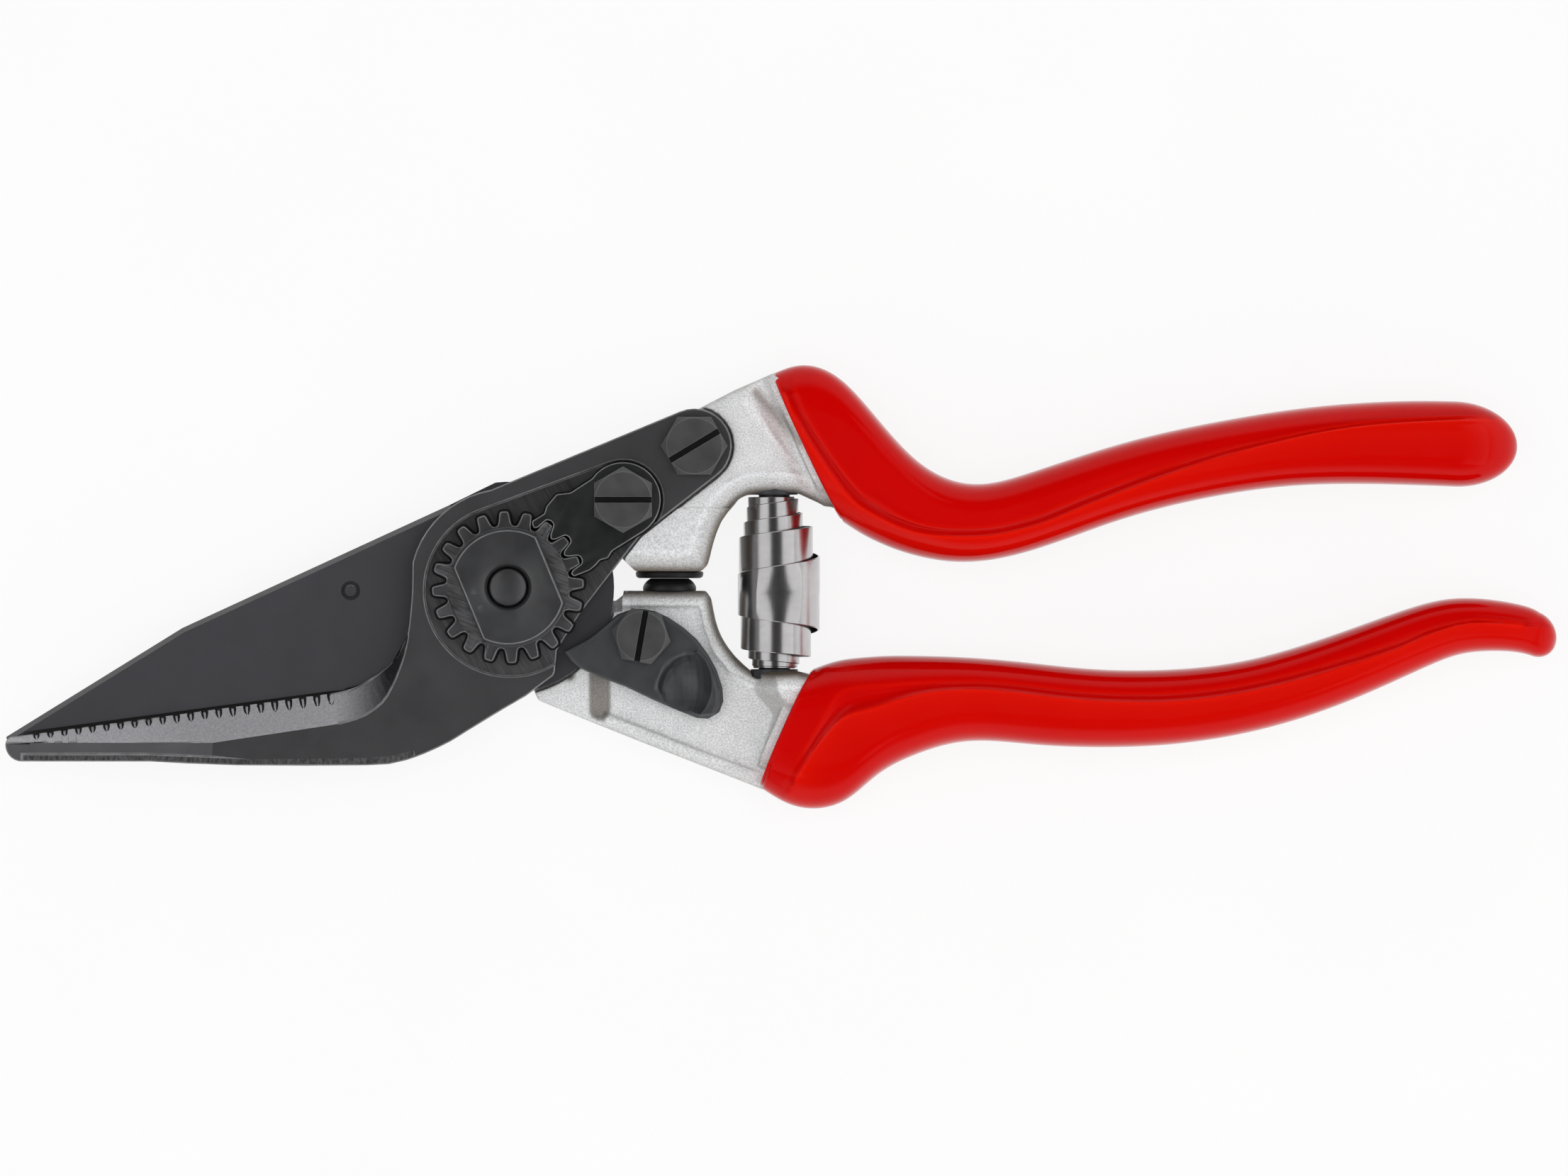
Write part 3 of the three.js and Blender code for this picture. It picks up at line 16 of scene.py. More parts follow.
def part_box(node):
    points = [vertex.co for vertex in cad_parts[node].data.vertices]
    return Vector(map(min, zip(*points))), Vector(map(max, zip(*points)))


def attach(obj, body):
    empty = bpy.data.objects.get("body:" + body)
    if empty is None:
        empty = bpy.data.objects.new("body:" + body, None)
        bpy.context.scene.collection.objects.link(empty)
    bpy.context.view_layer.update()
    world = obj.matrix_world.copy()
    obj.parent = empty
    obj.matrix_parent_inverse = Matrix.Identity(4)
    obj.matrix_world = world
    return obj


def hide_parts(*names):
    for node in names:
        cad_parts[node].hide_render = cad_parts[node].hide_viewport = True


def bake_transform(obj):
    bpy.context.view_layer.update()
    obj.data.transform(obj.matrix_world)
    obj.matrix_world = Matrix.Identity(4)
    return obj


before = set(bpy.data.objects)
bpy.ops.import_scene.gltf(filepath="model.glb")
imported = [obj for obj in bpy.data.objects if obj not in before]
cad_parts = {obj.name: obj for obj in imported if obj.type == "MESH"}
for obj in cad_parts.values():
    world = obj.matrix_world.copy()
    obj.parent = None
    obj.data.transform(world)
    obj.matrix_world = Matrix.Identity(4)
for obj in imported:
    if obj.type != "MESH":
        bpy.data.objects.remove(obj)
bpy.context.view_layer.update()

MM = 0.001
Triple = tuple[float, float, float]
Colour = Triple
Pair = tuple[float, float]
log = logging.getLogger("shears")


class Body(enum.Enum):
    """The moving bodies of the shears."""

    LOWER = "lower_side"
    UPPER = "upper_side"
    CATCH = "catch"


# Heights of the parts' faces above the table, in millimetres
BLADE_TOP = 9.4
COUNTER_BASE = 9.6
COUNTER_TOP = 13.6
POCKET_FLOOR = 12.6
NUT_TOP = 15.2
HUB_TOP = 16.5

# Edges sharper than this angle in degrees are broken on machined pieces
SHARP = 28.0

# Corners of a broken edge that lie off the skin by more than this share of its width go back to it
STRAY = 0.5

# The stretch of a noise that spans a finish's darkest and lightest tone
CLOUD_REACH = (0.3, 0.7)


def ease(value: np.ndarray) -> np.ndarray:
    """Return the value clipped to 0..1 and eased at both ends."""
    t = np.clip(value, 0.0, 1.0)
    return t * t * (3.0 - 2.0 * t)


def spline(points: Sequence[Sequence[float]], steps: int, relax: int = 0) -> np.ndarray:
    """Draw a natural cubic spline through points.

    Args:
        points: The points, one row each, with any number of columns.
        steps: Samples between two neighbouring points.
        relax: Passes of light averaging over the samples, which calm small waves.

    Returns:
        The samples, one row each, with the first and last point kept.
    """
    rows = np.asarray(points, float)
    count = len(rows)
    system = np.eye(count) * 4.0 + np.eye(count, k=1) + np.eye(count, k=-1)
    right = np.zeros_like(rows)
    right[1:-1] = 6.0 * (rows[2:] - 2.0 * rows[1:-1] + rows[:-2])
    system[0], system[-1] = np.eye(count)[0], np.eye(count)[-1]
    bend = np.linalg.solve(system, right)
    t = np.linspace(0.0, count - 1.0, (count - 1) * steps + 1)
    low = np.minimum(t.astype(int), count - 2)
    b = (t - low)[:, None]
    a = 1.0 - b
    curve = a * rows[low] + b * rows[low + 1]
    curve += ((a**3 - a) * bend[low] + (b**3 - b) * bend[low + 1]) / 6.0
    for _ in range(relax):
        curve[1:-1] = (curve[:-2] + 2.0 * curve[1:-1] + curve[2:]) / 4.0
    return curve


def drawn_in(outline: np.ndarray, distance: float) -> np.ndarray:
    """Draw a closed counter-clockwise outline in by a distance.

    Args:
        outline: Points of the outline, one row each.
        distance: How far each point moves inward.

    Returns:
        The moved points.
    """
    along = np.roll(outline, -1, axis=0) - np.roll(outline, 1, axis=0)
    along /= np.linalg.norm(along, axis=1)[:, None]
    return outline + distance * np.stack([-along[:, 1], along[:, 0]], axis=1)


def signed_distance(places: np.ndarray, line: np.ndarray) -> np.ndarray:
    """Measure how far places lie from a line in the plane.

    Args:
        places: Places, one row of x and y each.
        line: Points of the line, one row of x and y each.

    Returns:
        The distances, above zero to the left of the line's direction.
    """
    start, step = line[:-1], np.diff(line, axis=0)
    best = np.full(len(places), np.inf)
    side = np.zeros(len(places))
    for origin, way in zip(start, step):
        offset = places - origin
        share = np.clip(offset @ way / (way @ way), 0.0, 1.0)
        gap = np.linalg.norm(offset - share[:, None] * way, axis=1)
        nearer = gap < best
        best[nearer] = gap[nearer]
        side[nearer] = np.sign(way[0] * offset[:, 1] - way[1] * offset[:, 0])[nearer]
    return best * side


class Form:
    """A mesh that is built up from rings of points in millimetres."""

    def __init__(self, name: str) -> None:
        """Start an empty form with its object's name."""
        self.name = name
        self.places: list[Sequence[float]] = []
        self.faces: list[Sequence[int]] = []

    def rings(self, rings: np.ndarray, wrap: bool = False) -> "Form":
        """Add a skin over rings.

        Args:
            rings: Points as an array of ring, side and coordinate.
            wrap: Whether the last ring joins the first, instead of two end caps.

        Returns:
            This form.
        """
        count, sides = rings.shape[:2]
        base = len(self.places)
        self.places.extend(rings.reshape(-1, 3).tolist())
        for r in range(count if wrap else count - 1):
            low, high = base + r * sides, base + ((r + 1) % count) * sides
            for s in range(sides):
                n = (s + 1) % sides
                self.faces.append((low + s, low + n, high + n, high + s))
        if not wrap:
            self.faces.append(list(range(base + sides - 1, base - 1, -1)))
            last = base + (count - 1) * sides
            self.faces.append(list(range(last, last + sides)))
        return self

    def make(self, crease: float = 35.0) -> bpy.types.Object:
        """Turn the form into an object in metres.

        Args:
            crease: Edges sharper than this angle in degrees stay sharp in the shading.

        Returns:
            The linked object.
        """
        mesh = bpy.data.meshes.new(self.name)
        mesh.from_pydata((np.asarray(self.places) * MM).tolist(), [], self.faces)
        work = bmesh.new()
        work.from_mesh(mesh)
        bmesh.ops.recalc_face_normals(work, faces=work.faces)
        work.to_mesh(mesh)
        work.free()
        return shaded(linked(self.name, mesh), crease)


def linked(name: str, mesh: bpy.types.Mesh) -> bpy.types.Object:
    """Return a new object of a mesh, linked to the scene."""
    obj = bpy.data.objects.new(name, mesh)
    bpy.context.scene.collection.objects.link(obj)
    return obj


def shaded(obj: bpy.types.Object, crease: float) -> bpy.types.Object:
    """Shade an object smooth between edges sharper than an angle in degrees, and return it."""
    obj.data.shade_smooth()
    obj.data.set_sharp_from_angle(angle=math.radians(crease))
    return obj


def worked_copy(node: str, flatness: float = 0.0) -> bpy.types.Object:
    """Copy a CAD node to work on, with its doubled corners welded.

    Args:
        node: The CAD node's name.
        flatness: Where above zero, faces that lie flat to this angle in degrees are joined.

    Returns:
        The copy, named after the node with a prefix.
    """
    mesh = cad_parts[node].data.copy()
    mesh.materials.clear()
    work = bmesh.new()
    work.from_mesh(mesh)
    bmesh.ops.remove_doubles(work, verts=work.verts, dist=1e-6)
    if flatness > 0.0:
        limit = math.radians(flatness)
        bmesh.ops.dissolve_limit(work, angle_limit=limit, verts=work.verts, edges=work.edges)
    work.to_mesh(mesh)
    work.free()
    return linked(f"fine_{node}", mesh)


def skin_of(mesh: bpy.types.Mesh) -> BVHTree:
    """Return a mesh's faces as a tree that rays and places find them in."""
    places = [vert.co.copy() for vert in mesh.vertices]
    return BVHTree.FromPolygons(places, [face.vertices[:] for face in mesh.polygons])


def settle(obj: bpy.types.Object) -> bpy.types.Object:
    """Bake an object's modifiers into its mesh, and return the object."""
    graph = bpy.context.evaluated_depsgraph_get()
    mesh = bpy.data.meshes.new_from_object(obj.evaluated_get(graph))
    obj.modifiers.clear()
    obj.data = mesh
    return obj


def numbered(
    obj: bpy.types.Object, choose: Callable[[np.ndarray, np.ndarray], int]
) -> bpy.types.Object:
    """Give the faces of an object that have its first finish their own ones.

    Args:
        obj: The object.
        choose: Takes a face's centre in millimetres and its normal, and returns a finish's number.

    Returns:
        The object.
    """
    for face in obj.data.polygons:
        if face.material_index == 0:
            face.material_index = choose(np.array(face.center) / MM, np.array(face.normal))
    return obj


def outline_of(node: str, height: float) -> np.ndarray:
    """Return the outer outline of a CAD node's flat top, counter-clockwise.

    Args:
        node: The CAD node's name.
        height: Height of the flat top in millimetres.

    Returns:
        The outline's corners, one row of x and y each.
    """
    work = bmesh.new()
    work.from_mesh(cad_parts[node].data)
    bmesh.ops.remove_doubles(work, verts=work.verts, dist=1e-6)
    level = [face for face in work.faces if face.normal.z > 0.999]
    top = [face for face in level if abs(face.calc_center_median().z / MM - height) < 0.02]
    inside = set(top)
    after = {}
    for face in top:
        for loop in face.loops:
            if not all(other in inside for other in loop.edge.link_faces):
                after[loop.vert.index] = (loop.link_loop_next.vert.index, loop.vert.co.copy())
    work.free()
    best: list[Pair] = []
    while after:
        key, line = next(iter(after)), []
        while key in after:
            key, place = after.pop(key)
            line.append((place.x / MM, place.y / MM))
        best = line if len(line) > len(best) else best
    return np.array(best)


def evened(outline: np.ndarray, spacing: float, relax: int = 0) -> np.ndarray:
    """Return a closed outline with evenly spaced points, averaged lightly."""
    closed = np.vstack([outline, outline[:1]])
    run = np.append(0.0, np.cumsum(np.linalg.norm(np.diff(closed, axis=0), axis=1)))
    at = np.linspace(0.0, run[-1], max(int(run[-1] / spacing), 8), endpoint=False)
    even = np.column_stack([np.interp(at, run, closed[:, 0]), np.interp(at, run, closed[:, 1])])
    for _ in range(relax):
        even = (np.roll(even, 1, axis=0) + 2.0 * even + np.roll(even, -1, axis=0)) / 4.0
    return even


def merged(obj: bpy.types.Object, other: bpy.types.Object) -> bpy.types.Object:
    """Take another object's mesh into an object, drop the other and return the object."""
    work = bmesh.new()
    work.from_mesh(obj.data)
    work.from_mesh(other.data)
    work.to_mesh(obj.data)
    work.free()
    bpy.data.objects.remove(other)
    return obj


def remeshed(obj: bpy.types.Object, voxel: float, relax: int) -> bpy.types.Object:
    """Give a form the soft, rounded skin of a casting.

    Args:
        obj: The object, whose mesh is closed.
        voxel: Size of the new faces in millimetres.
        relax: Passes of smoothing.

    Returns:
        The object with its new mesh.
    """
    skin = obj.modifiers.new("skin", "REMESH")
    skin.mode = "VOXEL"
    skin.voxel_size = voxel * MM * 1.0
    skin.use_smooth_shade = True
    calm = obj.modifiers.new("calm", "SMOOTH")
    calm.factor = 0.5
    calm.iterations = relax
    return settle(obj)


def eased_edges(
    obj: bpy.types.Object, width: float, steps: int = 2, number: int = -1, clamp: bool = True
) -> bpy.types.Object:
    """Break the sharp edges of a machined piece.

    Args:
        obj: The object, a CAD node or a copy.
        width: Width of the broken edge in millimetres.
        steps: Faces across it.
        number: Number of the finish that its faces get, or -1 for the one beside them.
        clamp: Whether short edges narrow it.

    Returns:
        The object with its modifiers.
    """
    edge = obj.modifiers.new("edge", "BEVEL")
    edge.width = width * MM
    edge.segments = steps
    edge.material = number
    edge.limit_method = "ANGLE"
    edge.angle_limit = math.radians(SHARP)
    edge.use_clamp_overlap = clamp
    calm = obj.modifiers.new("calm", "WEIGHTED_NORMAL")
    calm.keep_sharp = True
    return obj


def eased_node(node: str, width: float, flatness: float = 1.0) -> bpy.types.Object:
    """Keep a CAD node and break its edges with modifiers.

    Args:
        node: The CAD node's name.
        width: Width of the broken edge in millimetres.
        flatness: Faces that lie flat to this angle in degrees are joined.

    Returns:
        The node's object.
    """
    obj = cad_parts[node]
    weld = obj.modifiers.new("weld", "WELD")
    weld.merge_threshold = 1e-6
    flat = obj.modifiers.new("flat", "DECIMATE")
    flat.decimate_type = "DISSOLVE"
    flat.angle_limit = math.radians(flatness)
    obj.data.shade_smooth()
    return eased_edges(obj, width)


def circle(radius: float, count: int) -> np.ndarray:
    """Return points of a circle about the origin, counter-clockwise."""
    angle = np.linspace(0.0, 2.0 * np.pi, count, endpoint=False)
    return radius * np.stack([np.cos(angle), np.sin(angle)], axis=1)


def levelled(loops: Sequence[tuple[np.ndarray, float]]) -> np.ndarray:
    """Return the rings of flat loops, each at its height."""
    return np.array([np.column_stack([loop, np.full(len(loop), z)]) for loop, z in loops])


def turned_rings(profile: Sequence[Pair], count: int = 96) -> np.ndarray:
    """Return the rings of a turned form about Z from pairs of radius and height."""
    return levelled([(circle(radius, count), z) for radius, z in profile])


def along_y(rings: np.ndarray) -> np.ndarray:
    """Return rings about Z turned so that their axis runs along Y."""
    return np.stack([rings[..., 0], rings[..., 2], -rings[..., 1]], axis=-1)


class Brew:
    """The node tree of one material, built by short calls that return sockets."""

    def __init__(self, label: str) -> None:
        """Start a material with one principled shader."""
        self.material = bpy.data.materials.new(label)
        self.material.use_nodes = True
        self.tree = self.material.node_tree
        self.tree.nodes.clear()
        output = self.tree.nodes.new("ShaderNodeOutputMaterial")
        self.shader = self.tree.nodes.new("ShaderNodeBsdfPrincipled")
        self.tree.links.new(self.shader.outputs[0], output.inputs[0])
        self.place = self.tree.nodes.new("ShaderNodeTexCoord").outputs["Object"]

    def feed(self, socket: bpy.types.NodeSocket, value: object) -> None:
        """Link a socket's source to it, or set its constant."""
        if isinstance(value, bpy.types.NodeSocket):
            self.tree.links.new(value, socket)
        elif isinstance(value, tuple) and len(value) == 3 and socket.type == "RGBA":
            socket.default_value = (*value, 1.0)
        else:
            socket.default_value = value

    def node(self, kind: str, feeds: dict[object, object], **settings: object) -> bpy.types.Node:
        """Add a node.

        Args:
            kind: The node's type, without its "ShaderNode" prefix.
            feeds: Sources or constants by input name or number.
            settings: The node's own properties.

        Returns:
            The node.
        """
        node = self.tree.nodes.new(f"ShaderNode{kind}")
        for key, value in settings.items():
            setattr(node, key, value)
        for key, value in feeds.items():
            self.feed(node.inputs[key], value)
        return node

    def stretched(self, size: float, stretch: Triple, turn: float = 0.0) -> bpy.types.NodeSocket:
        """Return the surface's place in units of a size in millimetres, stretched and turned."""
        scale = tuple(1.0 / (size * MM * s) for s in stretch)
        spin = self.node("Mapping", {0: self.place}, vector_type="POINT")
        spin.inputs["Rotation"].default_value = (0.0, 0.0, math.radians(turn))
        return self.node("Mapping", {0: spin.outputs[0], "Scale": scale}).outputs[0]

    def noise(
        self, size: float, detail: float = 3.0, stretch: Triple = (1.0, 1.0, 1.0), turn: float = 0.0
    ) -> bpy.types.NodeSocket:
        """Return soft noise about 0.5.

        Args:
            size: Size of its blotches in millimetres.
            detail: Finer layers on top.
            stretch: How many times longer the blotches are along each axis.
            turn: Turn of those axes about Z in degrees.

        Returns:
            The noise's socket.
        """
        place = self.stretched(size, stretch, turn)
        return self.node("TexNoise", {"Vector": place, "Scale": 1.0, "Detail": detail}).outputs[0]

    def rings(self, centre: Pair, size: float, detail: float = 2.0) -> bpy.types.NodeSocket:
        """Return noise in rings about an upright axis, a size in millimetres apart."""
        flat = self.node("VectorMath", {0: self.place, 1: (1.0, 1.0, 0.0)}, operation="MULTIPLY")
        middle = (centre[0] * MM, centre[1] * MM, 0.0)
        away = self.node("VectorMath", {0: flat.outputs[0], 1: middle}, operation="DISTANCE")
        scale = 1.0 / (size * MM)
        feeds = {"W": away.outputs["Value"], "Scale": scale, "Detail": detail}
        return self.node("TexNoise", feeds, noise_dimensions="1D").outputs[0]

    def span(
        self, factor: bpy.types.NodeSocket, low: float, high: float, reach: Pair = (0.35, 0.65)
    ) -> bpy.types.NodeSocket:
        """Return a factor's stretch, given by reach, mapped to low..high."""
        feeds = {0: factor, 1: reach[0], 2: reach[1], 3: low, 4: high}
        return self.node("MapRange", feeds).outputs[0]

    def tint(
        self, factor: bpy.types.NodeSocket, dark: object, light: object
    ) -> bpy.types.NodeSocket:
        """Return a colour between dark and light, each a colour or a socket, by a factor."""
        return self.node("Mix", {0: factor, 6: dark, 7: light}, data_type="RGBA").outputs[2]

    def bump(
        self, height: bpy.types.NodeSocket, depth: float, under: bpy.types.NodeSocket | None = None
    ) -> bpy.types.NodeSocket:
        """Return a normal bent by a height that is a depth in millimetres, over another normal."""
        node = self.node("Bump", {"Height": height, "Distance": depth * MM, "Strength": 1.0})
        if under is not None:
            self.feed(node.inputs["Normal"], under)
        return node.outputs[0]

    def mixed(self, **values: object) -> bpy.types.Material:
        """Feed the shader's inputs, given with underscores for spaces, and return the material."""
        for name, value in values.items():
            self.feed(self.shader.inputs[name.replace("_", " ")], value)
        return self.material


def shade(tone: Colour, share: float) -> Colour:
    """Return a tone made lighter or darker by a share, at most white."""
    return tuple(min(1.0, c * (1.0 + share)) for c in tone)


@dataclass(frozen=True)
class Finish:
    """A finish with a cloudy tone, a fine grain and a roughness that varies with them."""

    label: str
    slot: str
    tone: Colour
    metallic: float = 0.0
    roughness: float = 0.4
    clouding: float = 0.12
    cloud_size: float = 4.0
    grain_size: float = 0.3
    grain_depth: float = 0.01
    gloss_spread: float = 0.06
    gloss_level: float = 0.5
    # fade paints shade: the tone darkens along one axis between two places, to painted_fade_tone of
    # itself
    fade: Pair | None = None
    painted_fade_tone: float = 0.15
    painted_fade_axis: int = 0
    # painted: the tone is multiplied by the mesh's painted_light attribute, painted shade below 1
    # tinted towards painted_shade_tint, a painted highlight above 1
    painted: bool = False
    painted_shade_tint: Colour = (0.0, 0.0, 0.0)
    gloss_share: float = 0.6

    def material(self) -> bpy.types.Material:
        """Return the finish's material, mixed once and shared by its pieces."""
        known = bpy.data.materials.get(self.label)
        return known if known else self.mix(Brew(self.label))

    def clouds(self, brew: Brew) -> bpy.types.NodeSocket:
        """Return the finish's cloudy tone."""
        cloud = brew.span(brew.noise(self.cloud_size), 0.0, 1.0, CLOUD_REACH)
        return brew.tint(cloud, shade(self.tone, -self.clouding), shade(self.tone, self.clouding))

    def faded(self, brew: Brew, tone: bpy.types.NodeSocket) -> bpy.types.NodeSocket:
        """Return a tone times its painted light and shade, darkened by the fade's painted shade
        along an axis between the fade's two places.
        """
        # Painted light and shade from the painted_light attribute: below 1 painted shade, above 1 a
        # painted highlight.
        if self.painted:
            painted_light = brew.node("Attribute", {}, attribute_name="painted_light").outputs["Fac"]
            feeds = {0: painted_light, 6: self.painted_shade_tint, 7: (1.0, 1.0, 1.0)}
            painted_tint = brew.node("Mix", feeds, data_type="RGBA", clamp_factor=False).outputs[2]
            tone = brew.node("VectorMath", {0: tone, 1: painted_tint}, operation="MULTIPLY").outputs[0]
        # The fade is a painted shade gradient along one axis.
        if self.fade is None:
            return tone
        place = brew.node("SeparateXYZ", {0: brew.place}).outputs[self.painted_fade_axis]
        share = brew.span(place, 1.0, self.painted_fade_tone, (self.fade[0] * MM, self.fade[1] * MM))
        return brew.node("VectorMath", {0: tone, "Scale": share}, operation="SCALE").outputs[0]

    def grain(self, brew: Brew) -> bpy.types.NodeSocket:
        """Return the normal bent by the finish's grain."""
        return brew.bump(brew.noise(self.grain_size), self.grain_depth)

    def gloss(self, brew: Brew) -> bpy.types.NodeSocket:
        """Return the roughness, which varies with a broad noise."""
        low, high = self.roughness - self.gloss_spread, self.roughness + self.gloss_spread
        return brew.span(brew.noise(self.cloud_size * self.gloss_share), low, high)

    def mix(self, brew: Brew) -> bpy.types.Material:
        """Mix the material."""
        return brew.mixed(
            Base_Color=self.faded(brew, self.clouds(brew)),
            Metallic=self.metallic,
            Roughness=self.gloss(brew),
            Specular_IOR_Level=self.gloss_level,
            Normal=self.grain(brew),
        )


@dataclass(frozen=True)
class Brushed(Finish):
    """A finish with fine marks in one direction, as brushing or grinding leaves them."""

    line_size: float = 0.12
    line_length: float = 40.0
    line_turn: float = 0.0
    line_depth: float = 0.02
    line_tone: float = 0.15

    def lines(self, brew: Brew) -> bpy.types.NodeSocket:
        """Return the noise of the marks."""
        return brew.noise(self.line_size, 2.0, (self.line_length, 1.0, 1.0), self.line_turn)

    def clouds(self, brew: Brew) -> bpy.types.NodeSocket:
        """Return the cloudy tone with lighter and darker marks."""
        marks = brew.span(self.lines(brew), 0.0, 1.0)
        cloud = brew.noise(self.cloud_size)
        both = brew.node("Math", {0: marks, 1: self.line_tone}, operation="MULTIPLY").outputs[0]
        rest = brew.span(cloud, 0.0, 1.0 - self.line_tone)
        both = brew.node("Math", {0: both, 1: rest}, operation="ADD")
        dark, light = shade(self.tone, -self.clouding), shade(self.tone, self.clouding)
        return brew.tint(both.outputs[0], dark, light)

    def grain(self, brew: Brew) -> bpy.types.NodeSocket:
        """Return the normal bent by the grain and the marks."""
        return brew.bump(self.lines(brew), self.line_depth, Finish.grain(self, brew))


@dataclass(frozen=True)
class Turned(Finish):
    """A finish with rings round an upright axis, as a lathe leaves them."""

    centre: Pair = (0.0, 0.0)
    ring_size: float = 0.25
    ring_depth: float = 0.015

    def grain(self, brew: Brew) -> bpy.types.NodeSocket:
        """Return the normal bent by the grain and the rings."""
        rings = brew.rings(self.centre, self.ring_size)
        return brew.bump(rings, self.ring_depth, Finish.grain(self, brew))


@dataclass(frozen=True)
class Blasted(Finish):
    """A blasted and tumbled light metal: pale specks, grey pits, a frosted skin and painted shade
    on faces that turn upright.
    """

    speck_size: float = 0.24
    speck_tone: float = 0.3
    cloud_share: float = 0.15
    pit_size: float = 0.9
    pit_depth: float = 0.012
    painted_side_shade: Colour = (0.7, 0.69, 0.67)
    painted_side_reach: Pair = (0.45, 0.97)

    def clouds(self, brew: Brew) -> bpy.types.NodeSocket:
        """Return the tone with specks over broad clouds, darkened by painted shade where the face
        turns upright.
        """
        specks = brew.span(brew.noise(self.speck_size, 2.0), 0.0, 1.0, CLOUD_REACH)
        cloud = brew.span(brew.noise(self.cloud_size, 3.0), 0.0, 1.0, CLOUD_REACH)
        both = brew.node("Mix", {0: self.cloud_share, 2: specks, 3: cloud}).outputs[0]
        dark, light = shade(self.tone, -self.speck_tone), shade(self.tone, self.speck_tone)
        skin = brew.tint(both, dark, light)
        # Painted shade: faces that turn from level to upright darken towards painted_side_shade.
        normal = brew.node("NewGeometry", {}).outputs["Normal"]
        level = brew.node("SeparateXYZ", {0: normal}).outputs[2]
        facing = brew.span(level, 0.0, 1.0, self.painted_side_reach)
        painted_shade = brew.tint(facing, self.painted_side_shade, (1.0, 1.0, 1.0))
        return brew.node("VectorMath", {0: skin, 1: painted_shade}, operation="MULTIPLY").outputs[0]

    def grain(self, brew: Brew) -> bpy.types.NodeSocket:
        """Return the normal bent by pits and a finer frost."""
        frost = brew.bump(brew.noise(self.grain_size, 4.0), self.grain_depth)
        return brew.bump(brew.noise(self.pit_size, 3.0), self.pit_depth, frost)


@dataclass(frozen=True)
class Dipped(Finish):
    """A glossy dipped sleeve whose skin has a very slight wave."""

    wave_size: float = 9.0
    wave_depth: float = 0.03
    lit_tone: Colour = (0.78, 0.008, 0.002)
    flat_gloss: float = 0.015
    gloss_reach: Pair = (0.0, 0.12)

    def mix(self, brew: Brew) -> bpy.types.Material:
        """Mix the material, with painted light towards lit_tone where painted_lit is laid on, and
        glossier where it is seen aslant.
        """
        wave = brew.bump(brew.noise(self.wave_size, 1.0), self.wave_depth)
        skin = brew.bump(brew.noise(self.grain_size), self.grain_depth, wave)
        painted_lit = brew.node("Attribute", {}, attribute_name="painted_lit").outputs["Fac"]
        tone = brew.tint(painted_lit, self.clouds(brew), self.lit_tone)
        aslant = brew.node("LayerWeight", {"Blend": 0.5}).outputs["Facing"]
        shine = brew.span(aslant, self.flat_gloss, self.gloss_level, self.gloss_reach)
        return brew.mixed(
            Base_Color=self.faded(brew, tone),
            Roughness=self.gloss(brew),
            Specular_IOR_Level=shine,
            Normal=skin,
        )


# The aluminium's painted light from its rims and creases darkens towards a beige
# painted_shade_tint.
ALUMINIUM = Blasted(
    "blasted aluminium", "forged_aluminium", (0.775, 0.79, 0.81), 0.15, 0.5,
    cloud_size=2.5, grain_size=0.2, grain_depth=0.022, painted=True, painted_shade_tint=(0.09, 0.045, 0.0),
)
BLADE_STEEL = Finish(
    "blackened blade steel", "blackened_steel", (0.036, 0.0345, 0.041), 0.0, 0.5,
    clouding=0.05, cloud_size=6.0, grain_size=0.2, grain_depth=0.004, gloss_level=0.5,
)
JAW_STEEL = Brushed(
    "blackened jaw steel", "blackened_steel", (0.031, 0.0305, 0.033), 0.0, 0.45,
    clouding=0.1, cloud_size=7.0, grain_depth=0.003, line_turn=90.0, line_size=0.22,
    line_depth=0.004, gloss_level=0.6,
)
FACET_STEEL = Brushed(
    "ground tip facet", "blackened_steel", (0.075, 0.073, 0.079), 0.2, 0.45,
    clouding=0.08, grain_depth=0.003, line_turn=90.0, line_size=0.2, line_depth=0.006,
    gloss_level=0.8,
)
# The bevel's fade paints shade where the bevel turns into the throat, darker towards the heel.
BEVEL_STEEL = Brushed(
    "ground bevel steel", "blackened_steel", (0.345, 0.34, 0.36), 0.8, 0.36,
    clouding=0.16, cloud_size=0.35, grain_size=0.2, grain_depth=0.01, line_turn=84.0, line_size=0.2,
    line_length=6.0, line_depth=0.008, line_tone=0.4, fade=(-25.5, -18.0),
)
KEEL_STEEL = Brushed(
    "filed keel steel", "blackened_steel", (0.045, 0.045, 0.047), 0.1, 0.45,
    clouding=0.75, cloud_size=1.5, grain_depth=0.003, line_turn=90.0, line_size=0.4,
    line_length=30.0, line_depth=0.05, line_tone=0.9, gloss_level=0.8,
)
# Near-black steel that paints shade and shadow: serration walls, the flank under the working edge,
# the skirts round the nut and segment, and screw slots.
PAINTED_SHADE_STEEL = Finish(
    "dark crevice steel", "blackened_steel", (0.008, 0.008, 0.008), 0.0, 0.6, gloss_level=0.15,
)
SPINE_STEEL = Brushed(
    "ground spine edge", "blackened_steel", (0.09, 0.09, 0.092), 0.2, 0.45,
    grain_depth=0.003, line_turn=-20.0, line_size=0.14, gloss_level=0.8,
)
# Light steel that paints highlights along broken edges, the throat's edges and the bright rings of
# the nut and segment.
PAINTED_HIGHLIGHT_STEEL = Finish(
    "painted highlight edge", "blackened_steel", (0.17, 0.17, 0.175), 0.1, 0.4,
    clouding=0.25, cloud_size=1.2, grain_size=0.2, grain_depth=0.004, gloss_level=0.8,
)
